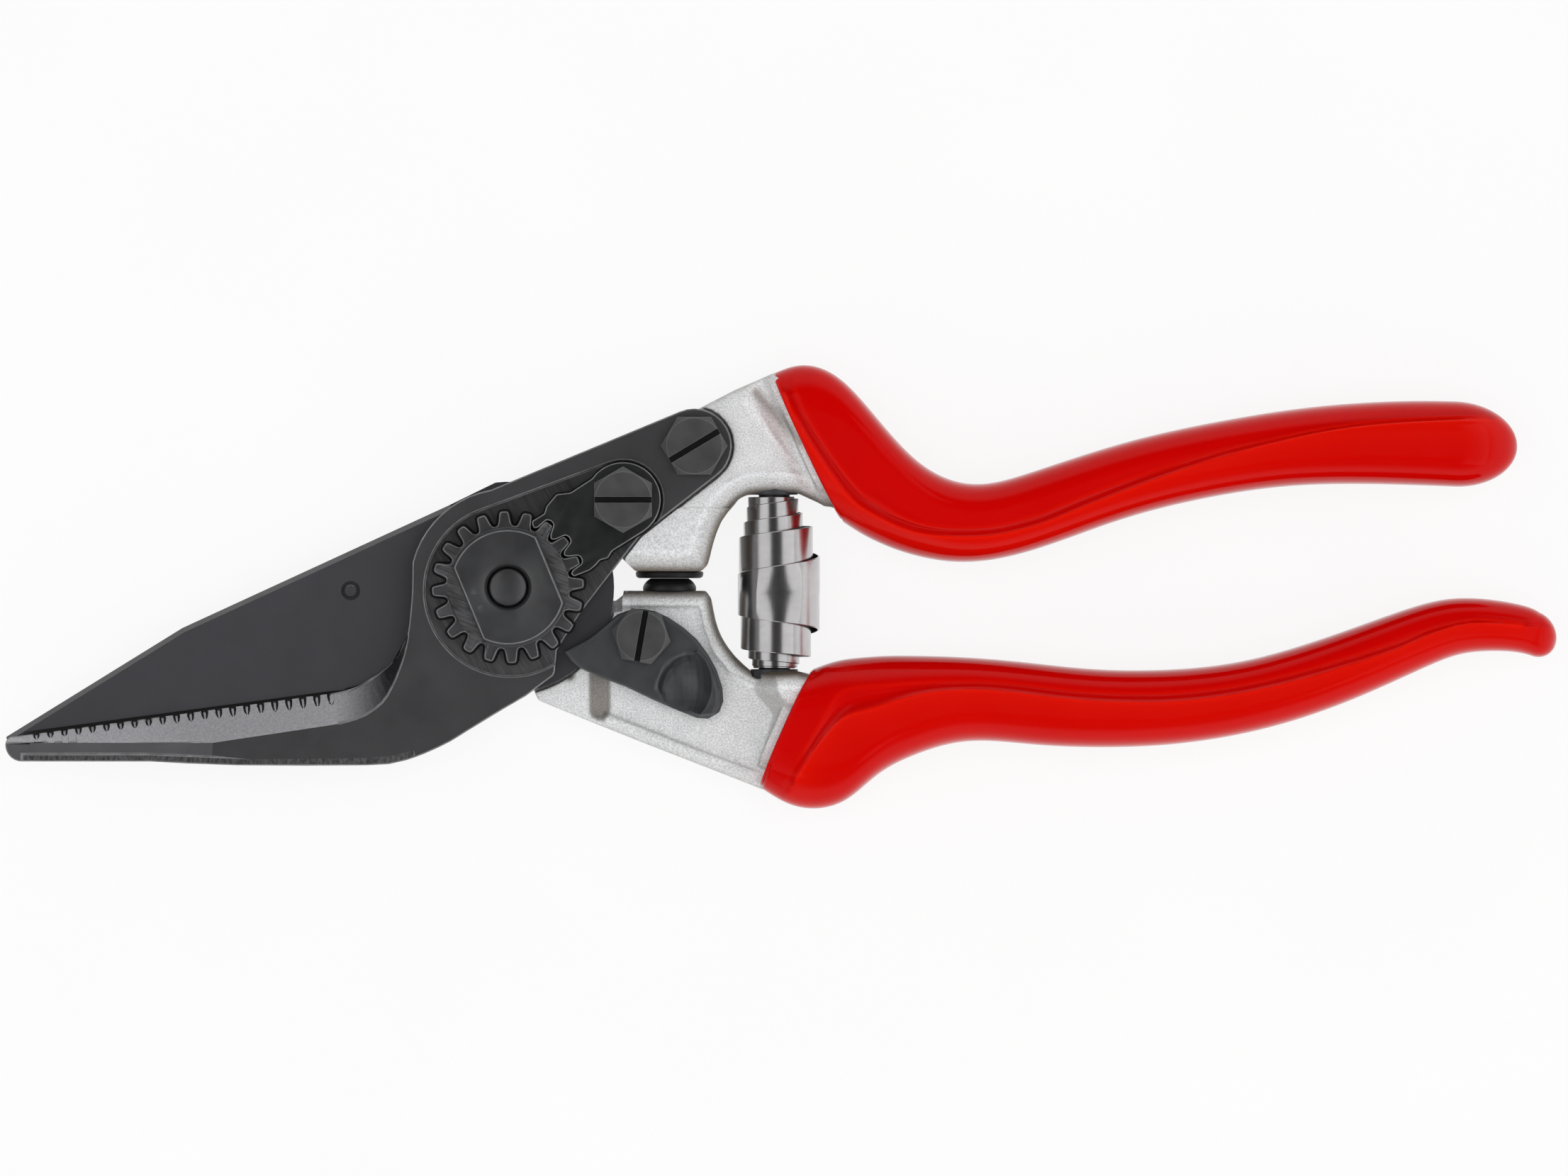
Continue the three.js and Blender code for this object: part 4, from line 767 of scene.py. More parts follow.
# The pocket's fade paints a light gradient, lighter towards -Y and darker towards +Y.
POCKET_STEEL = Brushed(
    "brushed pocket steel", "blackened_steel", (0.047, 0.047, 0.05), 0.0, 0.42,
    clouding=0.5, cloud_size=7.0, grain_depth=0.003, line_turn=60.0, line_size=0.26,
    line_length=18.0,
    line_depth=0.014, line_tone=0.7, gloss_level=0.7, fade=(-9.0, 9.0), painted_fade_axis=1, painted_fade_tone=0.45,
)
# The nut's fade paints a light gradient, lighter towards -Y and darker towards +Y.
NUT_STEEL = Finish(
    "blued nut steel", "blued_steel", (0.031, 0.0315, 0.034), 0.0, 0.36,
    clouding=0.3, cloud_size=5.0, grain_size=0.25, grain_depth=0.004, gloss_level=0.9,
    fade=(-8.0, 8.0), painted_fade_axis=1, painted_fade_tone=0.66,
)
LEDGE_STEEL = Brushed(
    "milled ledge steel", "blued_steel", (0.06, 0.06, 0.063), 0.1, 0.4,
    clouding=0.7, cloud_size=3.5, grain_depth=0.003, line_turn=22.6, line_size=0.2,
    line_length=12.0, line_depth=0.01, line_tone=0.6, gloss_level=0.8,
)
SEGMENT_STEEL = Brushed(
    "blued segment steel", "blued_steel", (0.008, 0.0088, 0.0085), 0.0, 0.42,
    clouding=0.4, cloud_size=4.0, grain_depth=0.006, line_turn=20.0, line_size=0.3,
    line_depth=0.006, gloss_level=0.4,
)
HIDDEN_STEEL = Finish(
    "blued fastener steel", "blued_steel", (0.045, 0.047, 0.051), 0.3, 0.38,
    clouding=0.25, cloud_size=2.0,
)
CATCH_STEEL = Finish(
    "satin catch steel", "blued_steel", (0.032, 0.0345, 0.038), 0.0, 0.42,
    clouding=0.14, cloud_size=3.0, grain_size=0.15, grain_depth=0.005, gloss_level=0.7,
    painted=True,
)
VINYL = Dipped(
    "dipped red vinyl", "red_sleeve", (0.6, 0.001, 0.0006), 0.0, 0.12,
    clouding=0.02, cloud_size=14.0, grain_size=0.5, grain_depth=0.001, gloss_spread=0.02,
    gloss_level=0.13, painted=True,
)
CHROME = Brushed(
    "chromed spring strip", "spring_steel", (0.56, 0.55, 0.555), 1.0, 0.22,
    clouding=0.05, cloud_size=2.5, grain_size=2.5, grain_depth=0.0006, gloss_spread=0.01,
    line_length=60.0, line_size=0.6, line_depth=0.0002, line_tone=0.3,
)
RUBBER = Finish(
    "black rubber", "black_rubber", (0.006, 0.006, 0.006), 0.0, 0.5,
    grain_size=0.2, grain_depth=0.006,
)
BRONZE = Turned(
    "bearing bronze", "bearing_bronze", (0.5, 0.3, 0.1), 1.0, 0.35, ring_size=0.3, ring_depth=0.01,
)


def turned_steel(label: str, centre: Pair) -> Turned:
    """Return the finish of a screw whose face is turned about its own centre."""
    return Turned(
        label, "screw_steel", (0.042, 0.042, 0.042), 0.0, 0.4,
        clouding=0.16, cloud_size=3.0, grain_size=0.2, grain_depth=0.004, gloss_level=0.8,
        centre=centre, ring_size=0.5, ring_depth=0.014,
    )


def coat(obj: bpy.types.Object, *finishes: Finish) -> bpy.types.Object:
    """Give an object its finishes and return the object."""
    obj.data.materials.clear()
    for finish in finishes:
        obj.data.materials.append(finish.material())
    return obj


def machined(
    node: str, width: float, *finishes: Finish, flatness: float = 0.5, clamp: bool = True
) -> bpy.types.Object:
    """Copy a CAD node and break its edges.

    Args:
        node: The CAD node's name.
        width: Width of the broken edges in millimetres.
        finishes: The copy's finishes, the last one for the broken edges.
        flatness: Faces that lie flat to this angle in degrees are joined.
        clamp: Whether short edges narrow the broken ones.

    Returns:
        The copy.
    """
    fine = coat(worked_copy(node, flatness), *finishes)
    skin = skin_of(fine.data)
    settle(eased_edges(fine, width, number=len(finishes) - 1, clamp=clamp))
    for vert in fine.data.vertices:
        place, _, _, away = skin.find_nearest(vert.co)
        if away > STRAY * width * MM:
            vert.co = place
    return fine


def fit(obj: bpy.types.Object, node: str, body: Body) -> None:
    """Put a fine piece in the place of a CAD node.

    Args:
        obj: The piece, in place and coated.
        node: The CAD node that it stands for.
        body: The moving body it rides on.
    """
    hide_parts(node)
    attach(obj, body.value)
    log.info("%s stands for %s, %d faces", obj.name, node, len(obj.data.polygons))


class JawFace(enum.IntEnum):
    """The finishes of the counter-blade by their number."""

    FLAT = 0
    BEVEL = 1
    FACET = 2
    POCKET = 3
    KEEL = 4
    PAINTED_SHADE = 5
    PAINTED_HIGHLIGHT = 6


@dataclass(frozen=True)
class WorkingEdge:
    """The straight working edge of the counter-blade, with its serrated bevel as one skin."""

    heel: Pair = (-26.3, -15.73)
    tip: Pair = (-74.3, -22.14)
    foot_line: tuple[Pair, ...] = (
        (-76.0, -22.98), (-43.6, -22.98), (-26.67, -20.44), (-24.0, -20.0),
    )
    foot_guess: float = 5.0
    foot_passes: int = 6
    serrations: int = 22
    pitch: float = 2.09
    groove_width: float = 0.53
    groove_margin: float = 0.02
    groove_depth: float = 0.42
    groove_lengths: Pair = (1.7, 0.95)
    wall_share: float = 0.34
    wall_start: float = -0.2
    start: float = -0.66
    spacing: float = 0.045
    margin: float = 0.015
    margin_growth: float = 0.008
    rows: int = 24
    crowding: float = 1.3
    facet_gaps: tuple[float, ...] = (0.02, 0.3, 0.7, 1.1)
    lift: float = 0.03
    floor: float = COUNTER_BASE + 0.05
    probe_height: float = 30.0
    bevel_probes: tuple[float, ...] = (0.15, 0.35, 0.55, 0.75, 0.9)
    facet_probes: tuple[float, ...] = (0.25, 0.6, 1.0)

    def directions(self) -> tuple[np.ndarray, np.ndarray]:
        """Return the direction of the working edge towards the tip and the one into the blade."""
        way = np.array(self.tip) - np.array(self.heel)
        way /= np.linalg.norm(way)
        return way, np.array([-way[1], way[0]])

    def at(self, along: float, ahead: float) -> np.ndarray:
        """Return the place at a distance along the edge from the heel and one across from it."""
        way, inward = self.directions()
        return np.array(self.heel) + way * along + inward * ahead

    def foot(self, along: float) -> float:
        """Return how far the bevel's foot lies from the edge."""
        feet, inward = np.array(self.foot_line), self.directions()[1]
        reach = self.foot_guess
        for _ in range(self.foot_passes):
            x, y = self.at(along, reach)
            reach += (y - np.interp(x, feet[:, 0], feet[:, 1])) / -inward[1]
        return reach

    def groove(
        self, along: np.ndarray | float, ahead: np.ndarray | float
    ) -> tuple[np.ndarray, np.ndarray, np.ndarray]:
        """Describe the serrations nearest to places on the bevel.

        Args:
            along: Distances of the places along the edge from the heel.
            ahead: Their distances across from it.

        Returns:
            The serrations' lengths, half widths at the places and middles along the edge.
        """
        number = np.clip(np.round(along / self.pitch), 0, self.serrations - 1)
        share = number / (self.serrations - 1)
        length = self.groove_lengths[0] * (1.0 - share) + self.groove_lengths[1] * share
        narrowing = np.sqrt(np.clip(1.0 - (ahead / length) ** 2, 0.0, 1.0))
        return length, self.groove_width * narrowing + self.groove_margin, number * self.pitch

    def drop(self, along: float, ahead: np.ndarray) -> np.ndarray:
        """Return how deep the serrations lie at places across from one on the edge."""
        length, half, middle = self.groove(along, ahead)
        side = np.clip(1.0 - ((along - middle) / half) ** 2, 0.0, 1.0)
        return self.groove_depth * np.clip(1.0 - ahead / length, 0.0, 1.0) * side

    def fits(self) -> tuple[np.ndarray, np.ndarray, np.ndarray]:
        """Fit lines to the CAD's bevel and facet midway between its serrations.

        Returns:
            Places along the edge, and at each the slope and start of the bevel and of the facet.
        """
        skin = skin_of(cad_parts["counter_blade"].data)

        def height(along: float, ahead: float) -> float:
            """Return the height of the CAD's skin."""
            x, y = self.at(along, ahead)
            above = Vector((x * MM, y * MM, self.probe_height * MM))
            return skin.ray_cast(above, Vector((0.0, 0.0, -1.0)))[0].z / MM

        stops = (np.arange(self.serrations + 1) - 0.5) * self.pitch
        bevels, facets = [], []
        for stop in stops:
            reach = self.foot(stop)
            slope = [height(stop, reach * share) for share in self.bevel_probes]
            flat = [height(stop, reach + gap) for gap in self.facet_probes]
            bevels.append(np.polyfit(self.bevel_probes, slope, 1))
            facets.append(np.polyfit(self.facet_probes, flat, 1))
        return stops, np.array(bevels), np.array(facets)

    def skin(self) -> bpy.types.Object:
        """Build the bevel with its serrations, and the border of the facet beyond its foot."""
        stops, *fits = self.fits()
        inward = self.directions()[1]
        gaps = np.array(self.facet_gaps)
        rings = []
        for along in np.arange(self.start, stops[-1], self.spacing):
            bevel, facet = ([np.interp(along, stops, column) for column in fit.T] for fit in fits)
            reach = self.foot(along)
            first = self.margin + self.margin_growth * max(along, 0.0) / self.pitch
            ahead = first + (reach - first) * np.linspace(0.0, 1.0, self.rows) ** self.crowding
            level = np.append(bevel[0] * ahead / reach + bevel[1], facet[0] * gaps + facet[1])
            ahead = np.append(ahead, reach + gaps)
            level = level + self.lift - self.drop(along, ahead)
            top = np.column_stack([self.at(along, 0.0) + ahead[:, None] * inward, level])
            under = top[::-1].copy()
            under[:, 2] = self.floor
            rings.append(np.concatenate([top, under]))
        field = Form("serrated_field").rings(np.array(rings)).make(30.0)
        return numbered(field, self.wall_finish)

    def wall_finish(self, centre: np.ndarray, _normal: np.ndarray) -> int:
        """Return the painted shade finish for a face in a wall of a serration, else the flat one.
        """
        way, inward = self.directions()
        offset = centre[:2] - np.array(self.heel)
        along, ahead = float(offset @ way), float(offset @ inward)
        length, half, middle = self.groove(along, max(ahead, 0.0))
        inside = self.wall_start < ahead < length
        dark = inside and self.wall_share < abs(along - middle) / half < 1.0
        return JawFace.PAINTED_SHADE if dark else JawFace.FLAT


@dataclass
class Jaws:
    """The serrated counter-blade in front and the cutting blade behind it."""

    edge: float = 0.2
    flatness: float = 0.3
    working: WorkingEdge = WorkingEdge()
    flat_lean: float = 0.985
    steep_lean: float = 0.05
    bevel_lean: float = 0.25
    keel_lean: float = -0.15
    facet_start: float = -43.6
    bevel_end: float = -13.0
    pocket_start: float = -16.0
    pocket_depth: float = 0.9
    flank_widths: Pair = (0.37, 0.1)
    flank_start: float = -27.0
    flank_run: float = 5.0
    flank_inset: float = 0.1
    flank_gap: float = 0.01
    flank_levels: Pair = (0.02, 0.55)
    throat_edge: tuple[Pair, ...] = (
        (-26.3, -15.73), (-24.15, -15.28), (-21.99, -14.49), (-19.91, -13.33), (-18.58, -12.31),
        (-17.24, -11.23), (-15.83, -9.36), (-14.93, -7.0),
    )
    throat_foot: tuple[Pair, ...] = (
        (-26.67, -20.44), (-23.85, -19.8), (-21.1, -18.83), (-18.65, -17.04), (-17.31, -14.94),
        (-16.27, -12.6), (-15.38, -9.97), (-14.79, -7.18),
    )
    throat_shares: tuple[float, ...] = (0.0, 0.05, 0.2, 0.35, 0.5, 0.65, 0.8, 0.95, 1.0)
    throat_levels: Pair = (COUNTER_BASE + 0.6, COUNTER_TOP - 0.02)
    throat_rise: float = 0.09
    throat_sink: float = 0.03
    throat_run: float = 6.0
    throat_calm: float = 0.7
    throat_depth: float = 0.3
    dimple: Pair = (-23.35, -0.48)
    stud_foot: float = 8.4
    stud_top: float = BLADE_TOP - 0.12
    stud_steps: tuple[Pair, ...] = (
        (0.98, 0.25), (0.9, 0.1), (0.72, 0.02), (0.5, 0.06), (0.25, 0.12), (0.02, 0.13),
    )
    ground_leans: Pair = (0.3, 0.97)
    ground_end: float = -26.0
    spine_lean: float = 0.3
    spine_end: float = -9.0

    def flank(self) -> bpy.types.Object:
        """Build the dark steep flank under the working edge, a near-black strip that paints the
        shadow there.
        """
        inward = self.working.directions()[1]
        tip, heel = self.working.tip, self.working.heel
        middle = ((tip[0] + heel[0]) / 2.0, (tip[1] + heel[1]) / 2.0)
        line = spline([tip, middle, *self.throat_edge[:4]], 8)[1:]
        share = ease((line[:, 0] - self.flank_start) / self.flank_run)
        widths = self.flank_widths[0] * (1.0 - share) + self.flank_widths[1] * share
        low, high = (COUNTER_BASE + level for level in self.flank_levels)
        rings = []
        for place, width in zip(line, widths):
            offsets = (self.flank_inset, self.flank_inset, -width, -self.flank_gap)
            corners = zip(offsets, (high, low, low, high))
            rings.append([(*(place + inward * offset), level) for offset, level in corners])
        flank = Form("edge_flank").rings(np.array(rings)).make(20.0)
        return numbered(flank, lambda _place, _normal: JawFace.PAINTED_SHADE)

    def throat(self) -> bpy.types.Object:
        """Build the smooth end of the bevel, where the working edge turns into the throat."""
        edge, foot = spline(self.throat_edge, 10), spline(self.throat_foot, 10)
        rise = self.throat_rise * ease(np.arange(len(edge)) / self.throat_run) - self.throat_sink
        low, high = self.throat_levels
        rings = []
        for start, end, lift in zip(edge, foot, rise):
            top = []
            for u in self.throat_shares:
                level = low + (high - low) * u + lift * (1.0 - self.throat_calm * u)
                top.append((*(start + (end - start) * u), level))
            rings.append(top + [(x, y, z - self.throat_depth) for x, y, z in reversed(top)])
        throat = Form("throat").rings(np.array(rings)).make(30.0)
        sides = 2 * len(self.throat_shares)
        # The faces along both edges of the throat get a painted highlight.
        bright = (0, len(self.throat_shares) - 2)
        for face in throat.data.polygons[: sides * (len(rings) - 1)]:
            face.material_index = JawFace.PAINTED_HIGHLIGHT if face.index % sides in bright else JawFace.FLAT
        return throat

    def counter_finish(self, centre: np.ndarray, normal: np.ndarray) -> int:
        """Return which finish a face of the counter-blade has."""
        x, _, z = centre
        if normal[2] > self.flat_lean:
            if z < COUNTER_TOP - self.pocket_depth and x > self.pocket_start:
                return JawFace.POCKET
            return JawFace.FACET if x < self.facet_start else JawFace.FLAT
        if x > self.bevel_end or normal[2] < self.steep_lean:
            return JawFace.FLAT
        if normal[1] < self.keel_lean:
            return JawFace.KEEL
        return JawFace.BEVEL if normal[2] > self.bevel_lean else JawFace.FLAT

    def cutting_finish(self, centre: np.ndarray, normal: np.ndarray) -> int:
        """Return which finish a face of the cutting blade has, 1 where it is ground."""
        low, high = self.ground_leans
        bevel = centre[0] < self.ground_end
        spine = normal[1] > self.spine_lean and centre[0] < self.spine_end
        return int(low < abs(normal[2]) < high and (bevel or spine))

    def stud(self) -> bpy.types.Object:
        """Build the low stud in the dimple of the cutting blade."""
        widest, narrowest = self.stud_steps[0][0], self.stud_steps[-1][0]
        profile = [(narrowest, self.stud_foot), (widest, self.stud_foot)]
        profile += [(radius, self.stud_top - depth) for radius, depth in self.stud_steps]
        rings = turned_rings(profile, 40) + np.array([*self.dimple, 0.0])
        return Form("stud").rings(rings).make(40.0)

    def build(self) -> None:
        """Build and fit both blades."""
        # The broken edges get the last finish, a painted highlight.
        counter = machined(
            "counter_blade", self.edge,
            JAW_STEEL, BEVEL_STEEL, FACET_STEEL, POCKET_STEEL,
            KEEL_STEEL, PAINTED_SHADE_STEEL, PAINTED_HIGHLIGHT_STEEL,
            flatness=self.flatness, clamp=False,
        )
        merged(counter, self.working.skin())
        merged(counter, self.throat())
        numbered(counter, self.counter_finish)
        merged(counter, self.flank())
        fit(counter, "counter_blade", Body.UPPER)
        cutting = machined(
            "cutting_blade", self.edge, BLADE_STEEL, SPINE_STEEL, flatness=self.flatness
        )
        merged(cutting, self.stud())
        numbered(cutting, self.cutting_finish)
        fit(cutting, "cutting_blade", Body.LOWER)


class PivotFace(enum.IntEnum):
    """The finishes of the nut and the segment by their number."""

    PLAIN = 0
    PAINTED_HIGHLIGHT = 1
    PAINTED_SHADE = 2
    LEDGE = 3


@dataclass
class PivotSet:
    """The centre bolt with its toothed nut, locking segment, screws and hidden fasteners."""

    teeth: int = 20
    tip_radius: float = 11.3
    tooth_depth: float = 2.2
    squareness: float = 2.2
    fullness: float = 0.22
    phase: float = 3.0
    hub_radius: float = 8.6
    flat_distance: float = 6.78
    left_flat: float = 6.4
    flat_turn: float = 22.6
    ledge_width: float = 2.35
    ledge_depth: float = 0.28
    ledge_gap: float = 0.015
    samples: int = 480
    # The skirt is a near-black flange round the teeth that paints their shadow on the pocket floor;
    # the bright rings get a painted highlight.
    shadow_skirt_steps: tuple[Pair, ...] = ((-0.26, 0.02), (-0.26, 0.05), (0.0, 0.06))
    tooth_steps: tuple[Pair, ...] = ((0.0, 0.34), (0.05, 0.16), (0.14, 0.04), (0.26, 0.0))
    shoulder_steps: tuple[Pair, ...] = ((8.98, 0.0), (8.86, 0.02), (8.74, 0.1))
    hub_foot: Pair = (-0.04, 0.26)
    hub_steps: tuple[Pair, ...] = (
        (0.0, 0.3), (0.05, 0.14), (0.2, 0.02), (0.36, 0.0), (1.2, 0.02),
    )
    mouth_steps: tuple[Pair, ...] = (
        (5.2, 0.1), (4.4, 0.2), (3.8, 0.31), (3.5, 0.4), (3.2, 0.75), (3.0, 1.3), (3.0, 3.88),
    )
    shadow_rings: int = 2
    highlight_rings: tuple[int, ...] = (5, 13)
    ledge_rings: tuple[int, ...] = (6, 7, 8, 9)
    segment_spacing: float = 0.16
    segment_shadow_skirt: tuple[Pair, ...] = ((-0.208, 0.02), (-0.208, 0.05), (0.0, 0.06))
    segment_steps: tuple[Pair, ...] = ((0.0, 0.2), (0.05, 0.06), (0.2, 0.0))
    highlight_segment_ring: int = 4
    bolt_radius: float = 2.76
    bolt_end: float = HUB_TOP - 0.36
    bolt_bow: float = 0.42
    bolt_shares: tuple[float, ...] = (0.86, 0.7, 0.54, 0.38, 0.22, 0.1)
    bolt_steps: tuple[Pair, ...] = ((0.0, -0.3), (-0.04, -0.12), (-0.16, 0.0), (-0.26, 0.03))
    screw_edge: float = 0.2
    slot_depth: float = 0.25
    slot_reach: float = 2.0

    def toothed(self) -> np.ndarray:
        """Return the outline of the nut's teeth."""
        angle = np.linspace(0.0, 2.0 * np.pi, self.samples, endpoint=False)
        wave = np.tanh(self.squareness * (np.cos(self.teeth * angle) + self.fullness))
        radius = self.tip_radius - self.tooth_depth / 2.0 * (1.0 - wave)
        turn = angle + math.radians(self.phase)
        return radius[:, None] * np.stack([np.cos(turn), np.sin(turn)], axis=1)

    def hub(self, less: float) -> np.ndarray:
        """Return the hub's outline with its two flats, smaller all round by some millimetres."""
        angle = np.linspace(0.0, 2.0 * np.pi, self.samples, endpoint=False)
        angle += math.radians(self.phase)
        across = np.cos(angle - math.radians(self.flat_turn))
        flat = np.where(across > 0.0, self.flat_distance, self.left_flat) - less
        radius = np.minimum(self.hub_radius - less, flat / np.maximum(np.abs(across), 1e-6))
        return radius[:, None] * np.stack([np.cos(angle), np.sin(angle)], axis=1)

    def round_loop(self, radius: float) -> np.ndarray:
        """Return a circle with as many points as the teeth have."""
        c, s = math.cos(math.radians(self.phase)), math.sin(math.radians(self.phase))
        return circle(radius, self.samples) @ np.array([[c, s], [-s, c]])

    def on_ledge(self, places: np.ndarray) -> np.ndarray:
        """Return which places lie on the ledge along either flat of the hub."""
        turn = math.radians(self.flat_turn)
        across = places[..., 0] * math.cos(turn) + places[..., 1] * math.sin(turn)
        flat = np.where(across > 0.0, self.flat_distance, self.left_flat)
        return (np.abs(across) > flat + self.ledge_gap) & (np.abs(across) < flat + self.ledge_width)

    def milled(self, rings: np.ndarray) -> np.ndarray:
        """Return the nut's rings with a ledge milled along each flat of its hub."""
        floor = NUT_TOP - self.ledge_depth
        above = self.on_ledge(rings) & (rings[..., 2] > floor)
        rings[..., 2] = np.where(above, floor, rings[..., 2])
        return rings

    def nut(self) -> bpy.types.Object:
        """Build the adjusting nut."""
        teeth = self.toothed()
        loops = [(drawn_in(teeth, inset), POCKET_FLOOR + rise) for inset, rise in self.shadow_skirt_steps]
        loops += [(drawn_in(teeth, inset), NUT_TOP - depth) for inset, depth in self.tooth_steps]
        loops += [(self.round_loop(radius), NUT_TOP + rise) for radius, rise in self.shoulder_steps]
        loops += [(self.hub(self.hub_foot[0]), NUT_TOP + self.hub_foot[1])]
        loops += [(self.hub(inset), HUB_TOP - depth) for inset, depth in self.hub_steps]
        loops += [(self.round_loop(radius), HUB_TOP - depth) for radius, depth in self.mouth_steps]
        nut = Form("toothed_nut").rings(self.milled(levelled(loops)), wrap=True).make(32.0)
        coat(nut, NUT_STEEL, PAINTED_HIGHLIGHT_STEEL, PAINTED_SHADE_STEEL, LEDGE_STEEL)
        # The skirt's faces get painted shadow, the rings at the top edges a painted highlight.
        for face in nut.data.polygons:
            ring = face.index // self.samples
            if ring in self.highlight_rings:
                face.material_index = PivotFace.PAINTED_HIGHLIGHT
            elif ring < self.shadow_rings:
                face.material_index = PivotFace.PAINTED_SHADE
            elif ring in self.ledge_rings and self.on_ledge(np.array(face.center) / MM):
                face.material_index = PivotFace.LEDGE
        return nut

    def segment(self) -> bpy.types.Object:
        """Build the segment that meshes with the nut's teeth."""
        low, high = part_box("locking_segment")
        base, top = low.z / MM, high.z / MM
        line = evened(outline_of("locking_segment", top), self.segment_spacing, 2)
        loops = [(drawn_in(line, inset), base + rise) for inset, rise in self.segment_shadow_skirt]
        loops += [(drawn_in(line, inset), top - depth) for inset, depth in self.segment_steps]
        segment = Form("toothed_segment").rings(levelled(loops)).make(40.0)
        coat(segment, SEGMENT_STEEL, PAINTED_HIGHLIGHT_STEEL, PAINTED_SHADE_STEEL)
        # The skirt's faces get painted shadow, the ring at the top edge a painted highlight.
        for face in segment.data.polygons:
            ring = face.index // len(line)
            if ring == self.highlight_segment_ring:
                face.material_index = PivotFace.PAINTED_HIGHLIGHT
            elif ring < self.shadow_rings:
                face.material_index = PivotFace.PAINTED_SHADE
        return segment

    def bolt(self) -> bpy.types.Object:
        """Build the centre bolt, whose keyed part is hidden in the counter-blade."""
        rim = self.bolt_end - self.bolt_bow
        profile = [
            (0.05, 0.0), (6.9, 0.0), (7.3, 0.15), (7.5, 0.55), (7.5, 2.2), (5.0, 2.2),
            (5.0, COUNTER_BASE), (3.95, COUNTER_BASE), (3.95, POCKET_FLOOR - 0.3),
            (self.bolt_radius, POCKET_FLOOR - 0.3),
        ]
        profile += [(self.bolt_radius + wider, rim + rise) for wider, rise in self.bolt_steps]
        profile += [
            (self.bolt_radius * share, self.bolt_end - self.bolt_bow * share**2)
            for share in self.bolt_shares
        ]
        return Form("pivot_bolt").rings(turned_rings([*profile, (0.05, self.bolt_end)])).make(50.0)

    def build(self) -> None:
        """Build and fit every piece of the pivot."""
        fit(self.nut(), "adjusting_nut", Body.UPPER)
        fit(coat(self.bolt(), NUT_STEEL), "centre_bolt", Body.UPPER)
        fit(self.segment(), "locking_segment", Body.UPPER)
        for name in ("segment_screw", "arm_screw"):
            self.screw(name, Body.UPPER)
        for name in ("segment_nut", "arm_nut", "upper_blade_rivet", "lower_blade_rivet"):
            coat(eased_node(name, 0.12), HIDDEN_STEEL)
        coat(eased_node("pivot_bush", 0.08), BRONZE)

    @classmethod
    def screw(cls, name: str, body: Body) -> None:
        """Fit a screw whose slot floor gets painted shade and broken edges a painted highlight, its
        face turned about its own centre.
        """
        low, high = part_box(name)
        centre = ((low.x + high.x) / 2.0 / MM, (low.y + high.y) / 2.0 / MM)
        face = turned_steel(f"turned {name} steel".replace("_", " "), centre)
        screw = machined(name, cls.screw_edge, face, PAINTED_SHADE_STEEL, PAINTED_HIGHLIGHT_STEEL)
        top = high.z / MM - cls.slot_depth

        def slot_finish(place: np.ndarray, normal: np.ndarray) -> int:
            """Return the painted shade finish for the floor of the slot."""
            return int(normal[2] > 0.9 and top - cls.slot_reach < place[2] < top)

        fit(numbered(screw, slot_finish), name, body)


@dataclass(frozen=True)
class Rim:
    """A rim that is rolled over along an edge of a forging, with a bead along its inner border, and
    painted highlight and shade along it.
    """

    line: tuple[Pair, ...]
    roll: float = 2.3
    drop: float = 1.5
    bead: float = 0.22
    bead_place: float = 2.9
    bead_width: float = 0.4
    root: float = 6.0
    face: float = 12.0
    # shine paints a highlight along the bead; painted_shade and edge_painted_shade paint shade over
    # the rolled band and at the outer edge
    shine: float = 0.16
    painted_shade: float = 0.42
    edge: float = 1.3
    edge_painted_shade: float = 0.45

    def shape(self, places: np.ndarray, painted_light: np.ndarray) -> None:
        """Roll the rim of a skin's places, in millimetres, whose body lies left of the line; paint
        a highlight on the bead and shade over the rolled band and the edge.
        """
        inside = np.maximum(signed_distance(places[:, :2], spline(self.line, 4)), 0.0)
        beyond = np.clip((self.roll - inside) / self.roll, 0.0, 1.0)
        sink = self.drop * (1.0 - np.sqrt(1.0 - beyond**2))
        bead = np.exp(-(((inside - self.bead_place) / self.bead_width) ** 2))
        share = np.clip((places[:, 2] - self.root) / (self.face - self.root), 0.0, 1.0)
        places[:, 2] += share * (self.bead * bead - sink)
        # Painted light: a highlight on the bead, painted shade on the rolled band and the outer
        # edge.
        band = ease((self.bead_place - inside) / self.bead_place)
        edge = ease((self.edge - inside) / self.edge)
        painted_light *= 1.0 + share * (self.shine * bead - self.painted_shade * band - self.edge_painted_shade * edge)


@dataclass(frozen=True)
class Collar:
    """The end face of a forging's body, which is drawn out under its sleeve."""

    place: Pair
    heading: Pair
    reach: float = 2.4
    before: float = 1.2
    after: float = 6.0
    half: float = 9.2
    fade: float = 2.0

    def shape(self, places: np.ndarray, _painted_light: np.ndarray) -> None:
        """Draw out a skin's places, given in millimetres."""
        way = np.array(self.heading) / np.linalg.norm(self.heading)
        ahead = (places[:, :2] - np.array(self.place)) @ way
        side = np.abs((places[:, :2] - np.array(self.place)) @ np.array([-way[1], way[0]]))
        share = ease((ahead + self.before) / self.before) * (1.0 - ease(ahead / self.after))
        share *= 1.0 - ease((side - self.half) / self.fade)
        places[:, :2] += (self.reach * share)[:, None] * way


